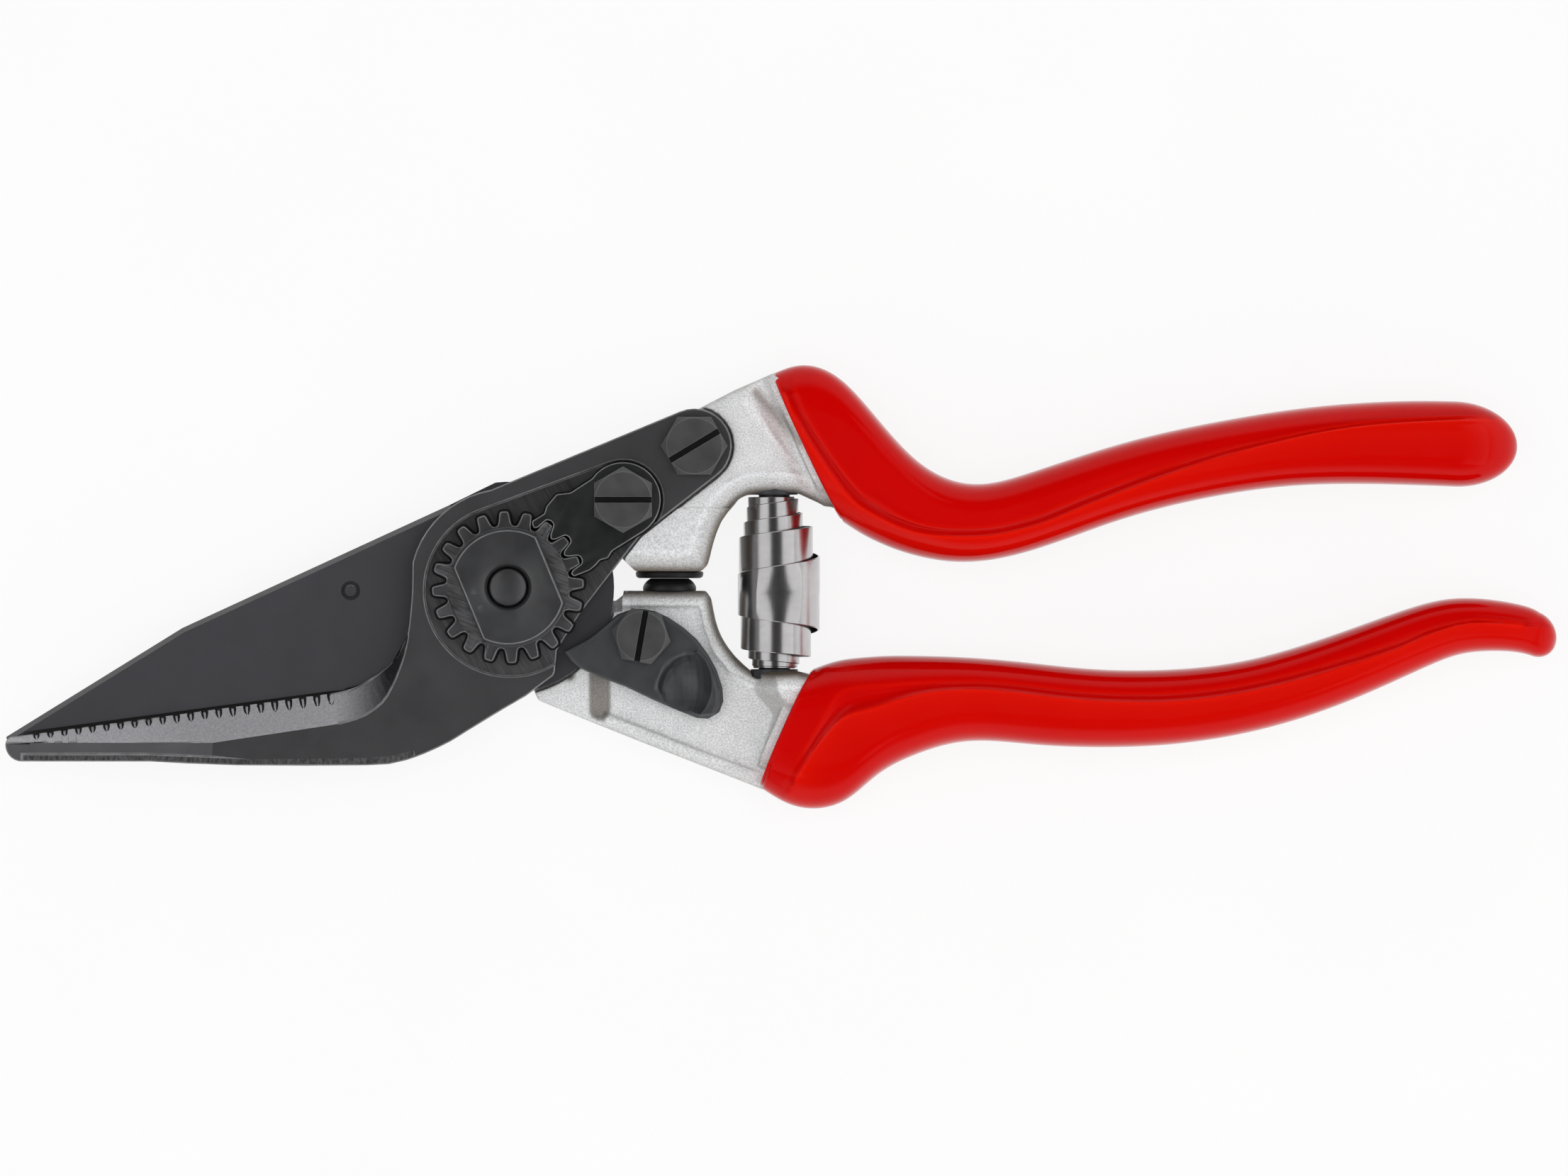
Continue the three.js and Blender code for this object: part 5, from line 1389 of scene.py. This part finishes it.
@dataclass(frozen=True)
class Crease:
    """A valley along a line of a forging, or a ridge where its depth is below zero, with painted
    light along it.
    """

    line: tuple[Pair, ...]
    depth: float
    width: float
    # painted_light scales the tone along the line: below 1 paints shade in a valley, above 1 a
    # highlight on a ridge
    painted_light: float = 1.0
    above: float = 9.0
    power: float = 2.0

    def shape(self, places: np.ndarray, painted_light: np.ndarray) -> None:
        """Press the valley into a skin's places, given in millimetres, and paint light along it:
        shade where painted_light is below 1, a highlight where it is above.
        """
        away = np.abs(signed_distance(places[:, :2], spline(self.line, 4)))
        share = np.exp(-((away / self.width) ** self.power)) * (places[:, 2] > self.above)
        places[:, 2] -= self.depth * share
        painted_light *= 1.0 - share * (1.0 - self.painted_light)


def pressed(
    obj: bpy.types.Object,
    forms: Sequence[Rim | Crease | Collar],
    trim: Callable[[np.ndarray], None] | None = None,
) -> bpy.types.Object:
    """Press forms into a skin and note its painted light and shade at each place, as a factor on
    its tone.

    Args:
        obj: The skin's object.
        forms: Its rims, creases and collars.
        trim: Moves places, given in millimetres, after the forms.

    Returns:
        The object.
    """
    places = np.empty(len(obj.data.vertices) * 3)
    obj.data.vertices.foreach_get("co", places)
    places = places.reshape(-1, 3) / MM
    painted_light = np.ones(len(places))
    for form in forms:
        form.shape(places, painted_light)
    if trim is not None:
        trim(places)
    obj.data.vertices.foreach_set("co", (places * MM).ravel())
    obj.data.attributes.new("painted_light", "FLOAT", "POINT").data.foreach_set("value", painted_light)
    return obj


@dataclass
class Forgings:
    """The two forged aluminium handles."""

    voxel: float = 0.26
    relax: int = 9
    disc_radius: float = 14.3
    disc_end: float = 3.0
    pad_end: float = 15.0
    pad_level: float = 12.0
    pad_share: float = 0.95
    corner: Pair = (18.3, -2.0)
    corner_radius: float = 1.5
    corner_start: float = 11.0
    corner_foot: float = -3.6
    step_level: float = 6.5
    upper_forms: tuple[Rim | Crease | Collar, ...] = (
        Rim((
            (17.5, 2.34), (23.0, 2.34), (28.2, 2.34), (29.4, 3.1), (29.8, 4.55), (30.3, 6.6),
            (31.5, 9.75), (33.4, 12.19), (35.9, 13.7), (39.3, 13.9), (42.6, 13.7), (46.0, 12.38),
            (49.75, 10.08),
        )),
        Collar((43.92, 21.05), (0.916, 0.401)),
        # The collar's valley gets painted shade and the ridge beside it a painted highlight.
        Crease(((36.8, 28.75), (40.2, 25.0), (43.0, 21.6)), 0.35, 0.65, 0.5),
        Crease(((34.9, 27.4), (38.8, 22.6), (42.7, 17.8)), -0.12, 0.5, 1.12),
    )
    lower_forms: tuple[Rim | Crease | Collar, ...] = (
        Rim((
            (46.5, -12.2), (43.6, -12.4), (39.4, -12.7), (35.9, -12.2), (33.5, -10.24),
            (31.6, -7.5), (30.6, -4.81), (30.0, -1.69), (28.6, -0.52), (23.0, -0.52),
            (16.8, -0.52),
        ), roll=1.9, drop=1.2, bead=0.15, bead_place=2.2, bead_width=0.4, root=5.0, face=10.0),
        Collar((40.43, -20.72), (0.923, -0.384)),
        # The groove and the notch under the catch get painted shade.
        Crease(((13.5, -13.0), (13.5, -15.5), (13.5, -18.1)), 1.0, 1.4, 0.3, 7.0, 6.0),
        Crease(((9.05, -13.06), (9.1, -13.0)), 0.8, 0.55, 0.3, 7.0),
    )

    def trim_upper(self, places: np.ndarray) -> None:
        """Level the upper pad with the face round it."""
        above = np.maximum(places[:, 2] - self.pad_level, 0.0)
        places[:, 2] -= np.where(places[:, 1] < self.pad_end, above * self.pad_share, 0.0)

    def trim_lower(self, places: np.ndarray) -> None:
        """Keep the lower disc behind the blades and round the corner of the lower pad."""
        reach = np.linalg.norm(places[:, :2], axis=1)
        front = (reach > self.disc_radius) & (places[:, 0] < self.disc_end)
        places[front, :2] *= (self.disc_radius / reach[front])[:, None]
        up = np.clip(places[:, 1] - self.corner[1], 0.0, self.corner_radius)
        left = self.corner[0] - np.sqrt(self.corner_radius**2 - up**2)
        near = places[:, 0] > self.corner_start
        high = places[:, 2] > self.step_level
        pad = near & high & (places[:, 0] < left) & (places[:, 1] > self.corner_foot)
        places[pad, 0] = left[pad]
        near = places[:, 0] > self.corner_start
        step = near & ~high & (places[:, 0] < self.corner[0] - self.corner_radius)
        places[:, 1] = np.where(step, np.minimum(places[:, 1], self.corner[1]), places[:, 1])

    def build(self) -> None:
        """Build and fit both handles."""
        for node, body, forms, trim in (
            ("upper_handle", Body.UPPER, self.upper_forms, self.trim_upper),
            ("lower_handle", Body.LOWER, self.lower_forms, self.trim_lower),
        ):
            skin = pressed(remeshed(worked_copy(node), self.voxel, self.relax), forms, trim)
            fit(coat(shaded(skin, 180.0), ALUMINIUM), node, body)


@dataclass
class Grip:
    """A dipped sleeve: a lofted skin with a soft crest along its front face, and a socket."""

    node: str
    body: Body
    stations: tuple[tuple[float, ...], ...]
    crest: tuple[Pair, ...]
    ridge: tuple[Pair, ...]
    end_length: float
    reach: float = 49.5
    rise: float = 32.5
    length: float = 106.2
    depth: float = 17.0
    wall: float = 1.6
    lip: float = 0.6
    bow: float = 0.4
    roundness: float = 2.8
    groove_depth: float = 0.45
    groove_foot: float = 0.55
    groove_level: Pair = (0.72, 0.2)
    groove_run_out: float = 6.0
    back_level: float = 0.15
    advance: float = 0.4
    # glow, crest_glow and ridge_glow paint light: a lit zone below the crest and highlights along
    # the crest and the ridge; shadow paints shade above the crest
    glow: Pair = (0.62, 3.6)
    crest_glow: Pair = (0.7, 0.22)
    ridge_glow: Pair = (0.4, 0.3)
    glow_level: Pair = (0.5, 0.3)
    shadow: Triple = (0.14, 0.75, 0.6)
    lip_turns: int = 7
    dome_turns: Pair = (6.0, 88.0)
    dome_rings: int = 16
    sides: int = 320
    steps: int = 14

    def lines(self) -> tuple[np.ndarray, np.ndarray, np.ndarray]:
        """Return the back edge, the finger edge and the half height along the sleeve."""
        rows = np.array(self.stations)
        scale = np.array([self.length, self.rise, self.length, self.rise, self.depth / 2.0])
        start = np.array([self.reach, 0.0, self.reach, 0.0, 0.0])
        curve = spline(rows * scale + start, self.steps, 24)
        return curve[:, 0:2], curve[:, 2:4], np.minimum(curve[:, 4], self.depth / 2.0)

    def ring(
        self, back: np.ndarray, finger: np.ndarray, half: float, inset: float, bow: float
    ) -> np.ndarray:
        """Draw one section of the sleeve.

        Args:
            back: Its point on the back edge.
            finger: Its point on the finger edge.
            half: Half its height.
            inset: How far it is drawn in.
            bow: How far its middle lies behind its front and back faces.

        Returns:
            Its points, one row each.
        """
        middle = (back + finger) / 2.0
        across = back - middle
        reach = float(np.linalg.norm(across))
        across = across / reach
        angle = np.linspace(0.0, 2.0 * np.pi, self.sides, endpoint=False)
        c, s = np.cos(angle), np.sin(angle)
        u = np.sign(c) * np.abs(c) ** (2.0 / self.roundness) * (reach - inset)
        v = np.sign(s) * np.abs(s) ** (2.0 / self.roundness) * (half - inset)
        ahead = bow * np.minimum(1.0, np.abs(v / half) ** self.roundness)
        front = np.array([across[1], -across[0]])
        flat = middle + u[:, None] * across - ahead[:, None] * front
        return np.column_stack([flat, self.depth / 2.0 + v])

    def crested(self, rings: np.ndarray) -> np.ndarray:
        """Return rings with a groove along the crest, from which the front face rises again."""
        line, ridge = spline(self.crest, 6), spline(self.ridge, 6)
        places = rings.reshape(-1, 3)
        from_crest = np.maximum(signed_distance(places[:, :2], line), 0.0)
        to_ridge = np.maximum(-signed_distance(places[:, :2], ridge), 0.0)
        share = from_crest / np.maximum(from_crest + to_ridge, 1e-6)
        down = 1.0 - (1.0 - np.minimum(share / self.groove_foot, 1.0)) ** 2
        up = (1.0 - self.back_level) * ease((share - self.groove_foot) / (1.0 - self.groove_foot))
        start, run = self.groove_level
        height = ease((places[:, 2] - self.depth * start) / (self.depth * run))
        ends = np.minimum(
            np.linalg.norm(places[:, :2] - line[0], axis=1),
            np.linalg.norm(places[:, :2] - line[-1], axis=1),
        )
        places[:, 2] -= height * ease(ends / self.groove_run_out) * self.groove_depth * (down - up)
        return places.reshape(rings.shape)

    def paint(self, obj: bpy.types.Object) -> None:
        """Note the painted light below the crest and along the crest and ridge lines, and the
        painted shade in a band above the crest.
        """
        places = np.array([vert.co for vert in obj.data.vertices]) / MM
        line, ridge = spline(self.crest, 6), spline(self.ridge, 6)
        above = signed_distance(places[:, :2], line)
        beside = np.abs(signed_distance(places[:, :2], ridge))
        front = ease((places[:, 2] / self.depth - self.glow_level[0]) / self.glow_level[1])
        painted_lit = np.where(above < 0.0, self.glow[0] * np.exp(above / self.glow[1]), 0.0)
        for away, (share, width) in ((above, self.crest_glow), (beside, self.ridge_glow)):
            painted_lit = painted_lit + share * np.exp(-((away / width) ** 2))
        share, middle, width = self.shadow
        dark = np.where(above > 0.0, np.exp(-(((above - middle) / width) ** 2)), 0.0)
        for name, values in (
            ("painted_lit", np.clip(front * painted_lit, 0.0, 1.0)),
            ("painted_light", 1.0 - share * front * dark),
        ):
            obj.data.attributes.new(name, "FLOAT", "POINT").data.foreach_set("value", values)

    def skin(self, back: np.ndarray, finger: np.ndarray, half: np.ndarray) -> np.ndarray:
        """Loft the outer skin.

        Args:
            back: The back edge.
            finger: The finger edge.
            half: Half the height along them.

        Returns:
            Its rings, from the lip at the mouth to the dome at the end.
        """
        fade = np.clip(1.0 - np.arange(len(back)) / self.steps / 2.0, 0.0, 1.0)
        front = np.append(back[1] - back[0], 0.0)
        front *= -1.0 / np.linalg.norm(front)
        outer = [
            self.ring(rear, near, height, 0.0, self.bow * share) + front * self.advance * share**2
            for rear, near, height, share in zip(back, finger, half, fade)
        ]
        lip = []
        for turn in np.radians(np.linspace(0.0, 90.0, self.lip_turns)):
            inset, ahead = self.lip * (1.0 - math.sin(turn)), self.lip * (1.0 - math.cos(turn))
            ring = self.ring(back[0], finger[0], half[0], inset, self.bow)
            lip.append(ring + front * (self.advance - ahead))
        way = np.append((back[-1] + finger[-1] - back[-2] - finger[-2]) / 2.0, 0.0)
        way /= np.linalg.norm(way)
        middle = outer[-1].mean(axis=0)
        dome = []
        for turn in np.radians(np.linspace(*self.dome_turns, self.dome_rings)):
            ahead = way * self.end_length * math.sin(turn)
            dome.append((outer[-1] - middle) * math.cos(turn) + middle + ahead)
        return np.array(lip + outer[2:] + dome)

    def build(self) -> None:
        """Build and fit the sleeve."""
        back, finger, half = self.lines()
        skin = self.crested(self.skin(back, finger, half))
        stops = range(self.steps, len(back) - 2 * self.steps, self.steps)
        socket = [self.ring(back[0], finger[0], half[0], self.wall + self.lip, self.bow)]
        socket += [self.ring(back[k], finger[k], half[k], self.wall, 0.0) for k in stops]
        rings = np.concatenate([skin[::-1], np.array(socket)])
        sleeve = Form(f"sleeve_{self.node}").rings(rings).make(60.0)
        self.paint(sleeve)
        fit(coat(sleeve, VINYL), self.node, self.body)


UPPER_STATIONS = (
    (-0.096, 0.974, 0, 0.308, 0.86), (-0.056, 1.015, 0.028, 0.24, 0.93),
    (-0.012, 0.969, 0.059, 0.189, 0.98), (0.026, 0.852, 0.088, 0.155, 1),
    (0.064, 0.705, 0.116, 0.132, 1), (0.105, 0.569, 0.146, 0.117, 0.99),
    (0.151, 0.486, 0.18, 0.115, 0.97), (0.202, 0.471, 0.221, 0.132, 0.95),
    (0.264, 0.526, 0.282, 0.186, 0.94), (0.344, 0.612, 0.367, 0.286, 0.94),
    (0.438, 0.698, 0.457, 0.372, 0.95), (0.551, 0.772, 0.565, 0.44, 0.96),
    (0.664, 0.825, 0.669, 0.469, 0.97), (0.777, 0.848, 0.777, 0.466, 0.95),
    (0.852, 0.846, 0.852, 0.457, 0.9),
)
LOWER_STATIONS = (
    (-0.042, -0.372, -0.114, -0.902, 0.86), (-0.009, -0.334, -0.078, -0.983, 0.92),
    (0.024, -0.32, -0.038, -1.009, 0.97), (0.056, -0.312, 0.007, -0.965, 1),
    (0.094, -0.311, 0.05, -0.846, 1), (0.137, -0.314, 0.104, -0.757, 0.99),
    (0.188, -0.322, 0.174, -0.698, 0.97), (0.259, -0.343, 0.259, -0.715, 0.95),
    (0.344, -0.372, 0.348, -0.729, 0.94), (0.438, -0.377, 0.452, -0.718, 0.94),
    (0.532, -0.351, 0.565, -0.662, 0.94), (0.621, -0.283, 0.669, -0.563, 0.93),
    (0.716, -0.178, 0.758, -0.443, 0.9), (0.796, -0.086, 0.829, -0.338, 0.86),
    (0.866, -0.046, 0.876, -0.295, 0.8), (0.942, -0.077, 0.927, -0.292, 0.72),
    (0.97, -0.115, 0.956, -0.31, 0.64),
)
UPPER_CREST = (
    (40.8, 28.5), (42.0, 25.8), (43.6, 22.8), (45.5, 19.8), (47.4, 17.0), (49.2, 14.6),
    (51.1, 12.5), (53.4, 11.0), (56.7, 9.3), (60.5, 8.0), (64.2, 7.5), (67.95, 7.4), (71.7, 7.65),
    (75.4, 8.4), (79.2, 9.5), (82.9, 11.0), (89.4, 13.6), (96.4, 16.2), (105.0, 19.1),
    (113.5, 21.4), (123.4, 23.4), (134.1, 24.4), (144.7, 24.8),
)
UPPER_RIDGE = (
    (42.3, 29.2), (43.5, 26.5), (45.1, 23.5), (46.8, 20.8), (48.6, 18.2), (50.3, 15.9),
    (52.1, 13.9), (54.3, 12.3), (57.2, 10.7), (60.7, 9.4), (64.2, 8.8), (67.9, 8.7), (71.5, 8.95),
    (75.1, 9.7), (78.8, 10.8), (82.4, 12.3), (88.9, 14.9), (96.0, 17.4), (104.7, 20.0),
    (113.3, 22.0), (123.3, 23.9), (134.1, 24.9), (144.7, 25.3),
)
LOWER_CREST = (
    (42.6, -28.2), (44.1, -25.8), (46.0, -23.0), (48.0, -20.6), (49.9, -19.1), (52.5, -18.2),
    (55.4, -17.4), (59.9, -16.0), (65.9, -15.2), (73.3, -15.4), (82.7, -16.5), (92.5, -17.0),
    (100.7, -16.7), (108.9, -15.5), (117.0, -13.6), (125.2, -11.2), (131.4, -9.1), (135.5, -7.3),
    (139.5, -5.9), (143.6, -5.3), (149.7, -5.7),
)
LOWER_RIDGE = (
    (41.3, -28.3), (42.9, -25.4), (45.2, -21.6), (47.6, -17.6), (49.2, -15.5), (52.0, -14.7),
    (55.4, -14.4), (60.0, -14.1), (65.9, -13.9), (73.3, -14.1), (82.9, -15.2), (92.5, -15.7),
    (100.6, -15.4), (108.6, -14.3), (116.6, -12.5), (124.8, -10.1), (131.0, -8.1), (135.1, -6.5),
    (139.3, -5.3), (143.6, -4.8), (149.7, -5.2),
)


@dataclass
class SpringSet:
    """The volute spring between the handles, its seats and the bumper beside it."""

    axis_x: float = 39.3
    axis_z: float = 7.7
    foot_height: float = 2.6
    bumper_rise: float = 0.18
    start_angle: float = 200.0
    strip: float = 0.28
    width: float = 5.6
    split: float = -0.8
    front: float = 0.306
    free_start: float = 0.55
    free_run: float = 0.3
    nick_share: float = 0.28
    turn_steps: int = 72
    upper_radii: tuple[float, ...] = (6.18, 5.66, 4.36, 3.87, 3.5)
    upper_shifts: tuple[float, ...] = (0.77, 0.48, 0.01, -0.15, -0.32)
    lower_radii: tuple[float, ...] = (6.18, 5.4, 3.67, 3.35, 3.2)
    lower_shifts: tuple[float, ...] = (0.77, 0.55, 0.14, 0.14, 0.1)
    upper_edges: tuple[float, ...] = (
        1.6, 4.3, 7.1, 9.0, 9.35, 10.97, 11.6, 13.1, 13.3, 13.4,
    )
    lower_edges: tuple[float, ...] = (
        -3.8, -6.0, -8.9, -10.3, -10.4, -11.35, -11.6, -11.85, -11.95, -12.0,
    )

    def leg(
        self, radii: Sequence[float], shifts: Sequence[float], edges: Sequence[float], side: float
    ) -> np.ndarray:
        """Return the sections of one leg of the spring.

        Args:
            radii: Outer radii where each turn passes the front.
            shifts: How far right of the axis the turn's centre lies there.
            edges: Heights of the outer edge after each half turn.
            side: 1 for the upper leg, -1 for the lower one.

        Returns:
            The sections as an array of section, corner and coordinate.
        """
        turns = (len(edges) - 1) / 2.0
        t = np.linspace(0.0, turns, int(turns * self.turn_steps) + 1)
        edge = np.interp(t * 2.0, np.arange(len(edges)), edges)
        fronts = np.arange(len(radii)) + self.front
        radius, shift = np.interp(t, fronts, radii), np.interp(t, fronts, shifts)
        for _ in range(self.turn_steps // 4):
            for row in (edge, radius, shift):
                row[1:-1] = (row[:-2] + 2.0 * row[1:-1] + row[2:]) / 4.0
        free = ease((t - self.free_start) / self.free_run)
        inner = (1.0 - free) * self.split + free * (edge - side * self.width)
        angle = np.radians(self.start_angle - 360.0 * t)
        nick = self.strip * self.nick_share
        under, over = (nick * free, nick) if side > 0.0 else (nick, nick * free)
        low, high = np.minimum(inner, edge), np.maximum(inner, edge)
        corners = [
            (radius - under, low), (radius, low + under), (radius, high - over),
            (radius - over, high), (radius - self.strip, high), (radius - self.strip, low),
        ]
        middle = self.axis_x + shift
        rings = [
            np.stack([middle + r * np.cos(angle), h, self.axis_z + r * np.sin(angle)], axis=-1)
            for r, h in corners
        ]
        return np.stack(rings, axis=1)

    def spring(self) -> bpy.types.Object:
        """Build the spring as one object of two legs."""
        form = Form("volute_strip")
        form.rings(self.leg(self.upper_radii, self.upper_shifts, self.upper_edges, 1.0))
        form.rings(self.leg(self.lower_radii, self.lower_shifts, self.lower_edges, -1.0))
        return form.make(30.0)

    def bumper(self) -> bpy.types.Object:
        """Build the rubber bumper on its foot."""
        low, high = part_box("bumper")
        base, top = low.y / MM, high.y / MM + self.bumper_rise
        foot = base + self.foot_height
        profile = [
            (0.05, base), (2.0, base), (2.0, foot), (3.88, foot),
            (3.95, foot + 0.3), (3.9, foot + 0.65), (3.7, foot + 1.05), (3.35, foot + 1.45),
            (2.95, top - 0.1), (2.8, top), (0.05, top),
        ]
        centre = np.array([(low.x + high.x) / 2.0, 0.0, (low.z + high.z) / 2.0]) / MM
        rings = along_y(turned_rings(profile, 64)) + centre
        return Form("bumper_block").rings(rings).make(40.0)

    def build(self) -> None:
        """Build and fit the spring, the bumper and their seats."""
        spring = coat(self.spring(), CHROME)
        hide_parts("volute_spring")
        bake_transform(spring)
        fit(coat(self.bumper(), RUBBER), "bumper", Body.LOWER)
        coat(eased_node("bumper_flange", 0.2), RUBBER)
        for name in ("upper_spring_seat", "lower_spring_seat"):
            coat(eased_node(name, 0.1), HIDDEN_STEEL)


@dataclass
class CatchSet:
    """The thumb catch with its screw, washer and nut."""

    voxel: float = 0.14
    relax: int = 5
    forms: tuple[Crease, ...] = (
        # The scoop's creases paint light: highlights on the crescent edge and the ridge, painted
        # shade on the scoop's wall.
        Crease((
            (21.77, -14.98), (21.96, -14.05), (22.71, -12.55), (23.64, -11.34), (24.77, -10.4),
            (26.08, -9.84), (27.2, -9.7),
        ), -0.06, 0.22, 2.2),
        Crease((
            (22.6, -15.0), (22.9, -13.9), (23.6, -12.7), (24.4, -11.8), (25.4, -11.0),
            (26.4, -10.6),
        ), 0.25, 0.6, 0.5),
        Crease(((25.5, -12.7), (27.4, -14.5), (29.4, -16.5)), -0.05, 0.8, 1.5),
    )

    def build(self) -> None:
        """Build and fit the catch and its fasteners."""
        catch = pressed(remeshed(worked_copy("thumb_catch"), self.voxel, self.relax), self.forms)
        fit(coat(shaded(catch, 180.0), CATCH_STEEL), "thumb_catch", Body.CATCH)
        PivotSet.screw("catch_screw", Body.LOWER)
        for name in ("catch_washer", "catch_nut"):
            coat(eased_node(name, 0.1), HIDDEN_STEEL)


@dataclass(frozen=True)
class SoftBox:
    """A large soft lamp that faces the shears."""

    label: str
    tilt: float
    heading: float
    reach: float
    width: float
    height: float
    glow: float
    mirrored: bool = True
    middle: float = 0.04

    def hang(self) -> None:
        """Hang the lamp."""
        light = bpy.data.lights.new(self.label, "AREA")
        light.shape = "RECTANGLE"
        light.size, light.size_y = self.width, self.height
        light.energy = self.glow * math.pi * self.width * self.height
        lamp = bpy.data.objects.new(self.label, light)
        bpy.context.scene.collection.objects.link(lamp)
        tilt, heading = math.radians(self.tilt), math.radians(self.heading)
        lamp.location = (
            self.middle + self.reach * math.sin(tilt) * math.cos(heading),
            self.reach * math.sin(tilt) * math.sin(heading),
            self.reach * math.cos(tilt),
        )
        lamp.rotation_euler = (0.0, tilt, heading)
        lamp.visible_camera = False
        lamp.visible_glossy = self.mirrored


@dataclass
class Studio:
    """The white table, the soft light round it and the camera straight above."""

    frame_width: float = 0.23178
    frame_centre: Pair = (0.04074, -0.000115)
    camera_height: float = 3.0
    focus_height: float = 0.01
    sensor: float = 36.0
    floor_half: float = 3.0
    floor_level: float = -0.0002
    floor_tones: Pair = (0.9, 0.94)
    floor_glow: float = 0.86
    zenith_glow: float = 0.04
    horizon_glow: float = 1.0
    zenith_edge: float = 46.0
    horizon_edge: float = 74.0
    left_glow: float = 0.25
    left_reach: Pair = (-0.75, -0.25)

    def camera(self) -> None:
        """Set up the camera at the photograph's angle."""
        data = bpy.data.cameras.new("camera above")
        data.sensor_width = self.sensor
        data.lens = self.sensor * self.camera_height / self.frame_width
        camera = bpy.data.objects.new("camera above", data)
        camera.location = (*self.frame_centre, self.camera_height + self.focus_height)
        bpy.context.scene.collection.objects.link(camera)
        bpy.context.scene.camera = camera

    def floor(self) -> None:
        """Lay the white table, which glows for the camera and keeps the shears' shadow."""
        half = self.floor_half
        mesh = bpy.data.meshes.new("white table")
        ways = ((-1.0, -1.0), (1.0, -1.0), (1.0, 1.0), (-1.0, 1.0))
        corners = [(x * half, y * half, self.floor_level) for x, y in ways]
        mesh.from_pydata(corners, [], [(0, 1, 2, 3)])
        table = linked("white table", mesh)
        brew = Brew("white table")
        tree = brew.tree
        speckle = brew.span(brew.noise(40.0, 2.0), *self.floor_tones)
        grey = brew.node("CombineColor", {0: speckle, 1: speckle, 2: speckle}).outputs[0]
        brew.mixed(Base_Color=grey, Roughness=0.9, Specular_IOR_Level=0.1)
        glow = brew.node("Emission", {0: (1.0, 1.0, 1.0), 1: 1.0})
        path = brew.node("LightPath", {})
        seen = path.outputs["Is Camera Ray"]
        for other in ("Is Glossy Ray", "Is Transmission Ray"):
            feeds = {0: seen, 1: path.outputs[other]}
            seen = brew.node("Math", feeds, operation="MAXIMUM").outputs[0]
        share = brew.node("Math", {0: seen, 1: self.floor_glow}, operation="MULTIPLY").outputs[0]
        mixed = brew.node("MixShader", {0: share, 1: brew.shader.outputs[0], 2: glow.outputs[0]})
        output = next(n for n in tree.nodes if n.bl_idname == "ShaderNodeOutputMaterial")
        tree.links.new(mixed.outputs[0], output.inputs[0])
        mesh.materials.append(brew.material)

    def sky(self) -> None:
        """Light the room: dark straight above, white low down and dim at the left."""
        world = bpy.data.worlds.new("room")
        world.use_nodes = True
        bpy.context.scene.world = world
        tree = world.node_tree
        back = next(n for n in tree.nodes if n.bl_idname == "ShaderNodeBackground")
        place = tree.nodes.new("ShaderNodeTexCoord")
        split = tree.nodes.new("ShaderNodeSeparateXYZ")
        tree.links.new(place.outputs["Generated"], split.inputs[0])
        edges = (self.horizon_edge, self.zenith_edge)
        low, high = (math.cos(math.radians(edge)) for edge in edges)
        ramps = []
        for axis, values in (
            ("Z", (low, high, self.horizon_glow, self.zenith_glow)),
            ("X", (*self.left_reach, self.left_glow, 1.0)),
        ):
            ramp = tree.nodes.new("ShaderNodeMapRange")
            ramp.interpolation_type = "SMOOTHSTEP"
            for socket, value in zip(list(ramp.inputs)[1:5], values):
                socket.default_value = value
            tree.links.new(split.outputs[axis], ramp.inputs[0])
            ramps.append(ramp)
        product = tree.nodes.new("ShaderNodeMath")
        product.operation = "MULTIPLY"
        for ramp, socket in zip(ramps, product.inputs):
            tree.links.new(ramp.outputs[0], socket)
        tree.links.new(product.outputs[0], back.inputs["Strength"])
        back.inputs["Color"].default_value = (1.0, 1.0, 1.0, 1.0)

    def lamps(self) -> None:
        """Hang the soft lamps."""
        SoftBox("left box", 38.0, 180.0, 1.1, 0.8, 1.6, 0.9).hang()
        SoftBox("right box", 38.0, 0.0, 1.1, 0.8, 1.6, 0.9).hang()
        SoftBox("near box", 48.0, 270.0, 1.2, 0.9, 1.4, 0.6, mirrored=False).hang()
        SoftBox("top box", 0.0, 0.0, 1.3, 0.8, 0.8, 3.0, mirrored=False).hang()

    def set_up(self) -> None:
        """Set up camera, table and light."""
        self.camera()
        self.floor()
        self.sky()
        self.lamps()
        bpy.context.scene.view_settings.view_transform = "Standard"


def main() -> None:
    """Build every sub-assembly in order, then the studio."""
    logging.basicConfig(level=logging.INFO, format="%(name)s: %(message)s")
    parts = [
        Forgings(),
        Jaws(),
        PivotSet(),
        CatchSet(),
        SpringSet(),
        Grip("upper_grip", Body.UPPER, UPPER_STATIONS, UPPER_CREST, UPPER_RIDGE, 9.2),
        Grip("lower_grip", Body.LOWER, LOWER_STATIONS, LOWER_CREST, LOWER_RIDGE, 3.4),
    ]
    for part in parts:
        log.info("building %s", type(part).__name__)
        part.build()
    Studio().set_up()


if __name__ == "__main__":
    main()
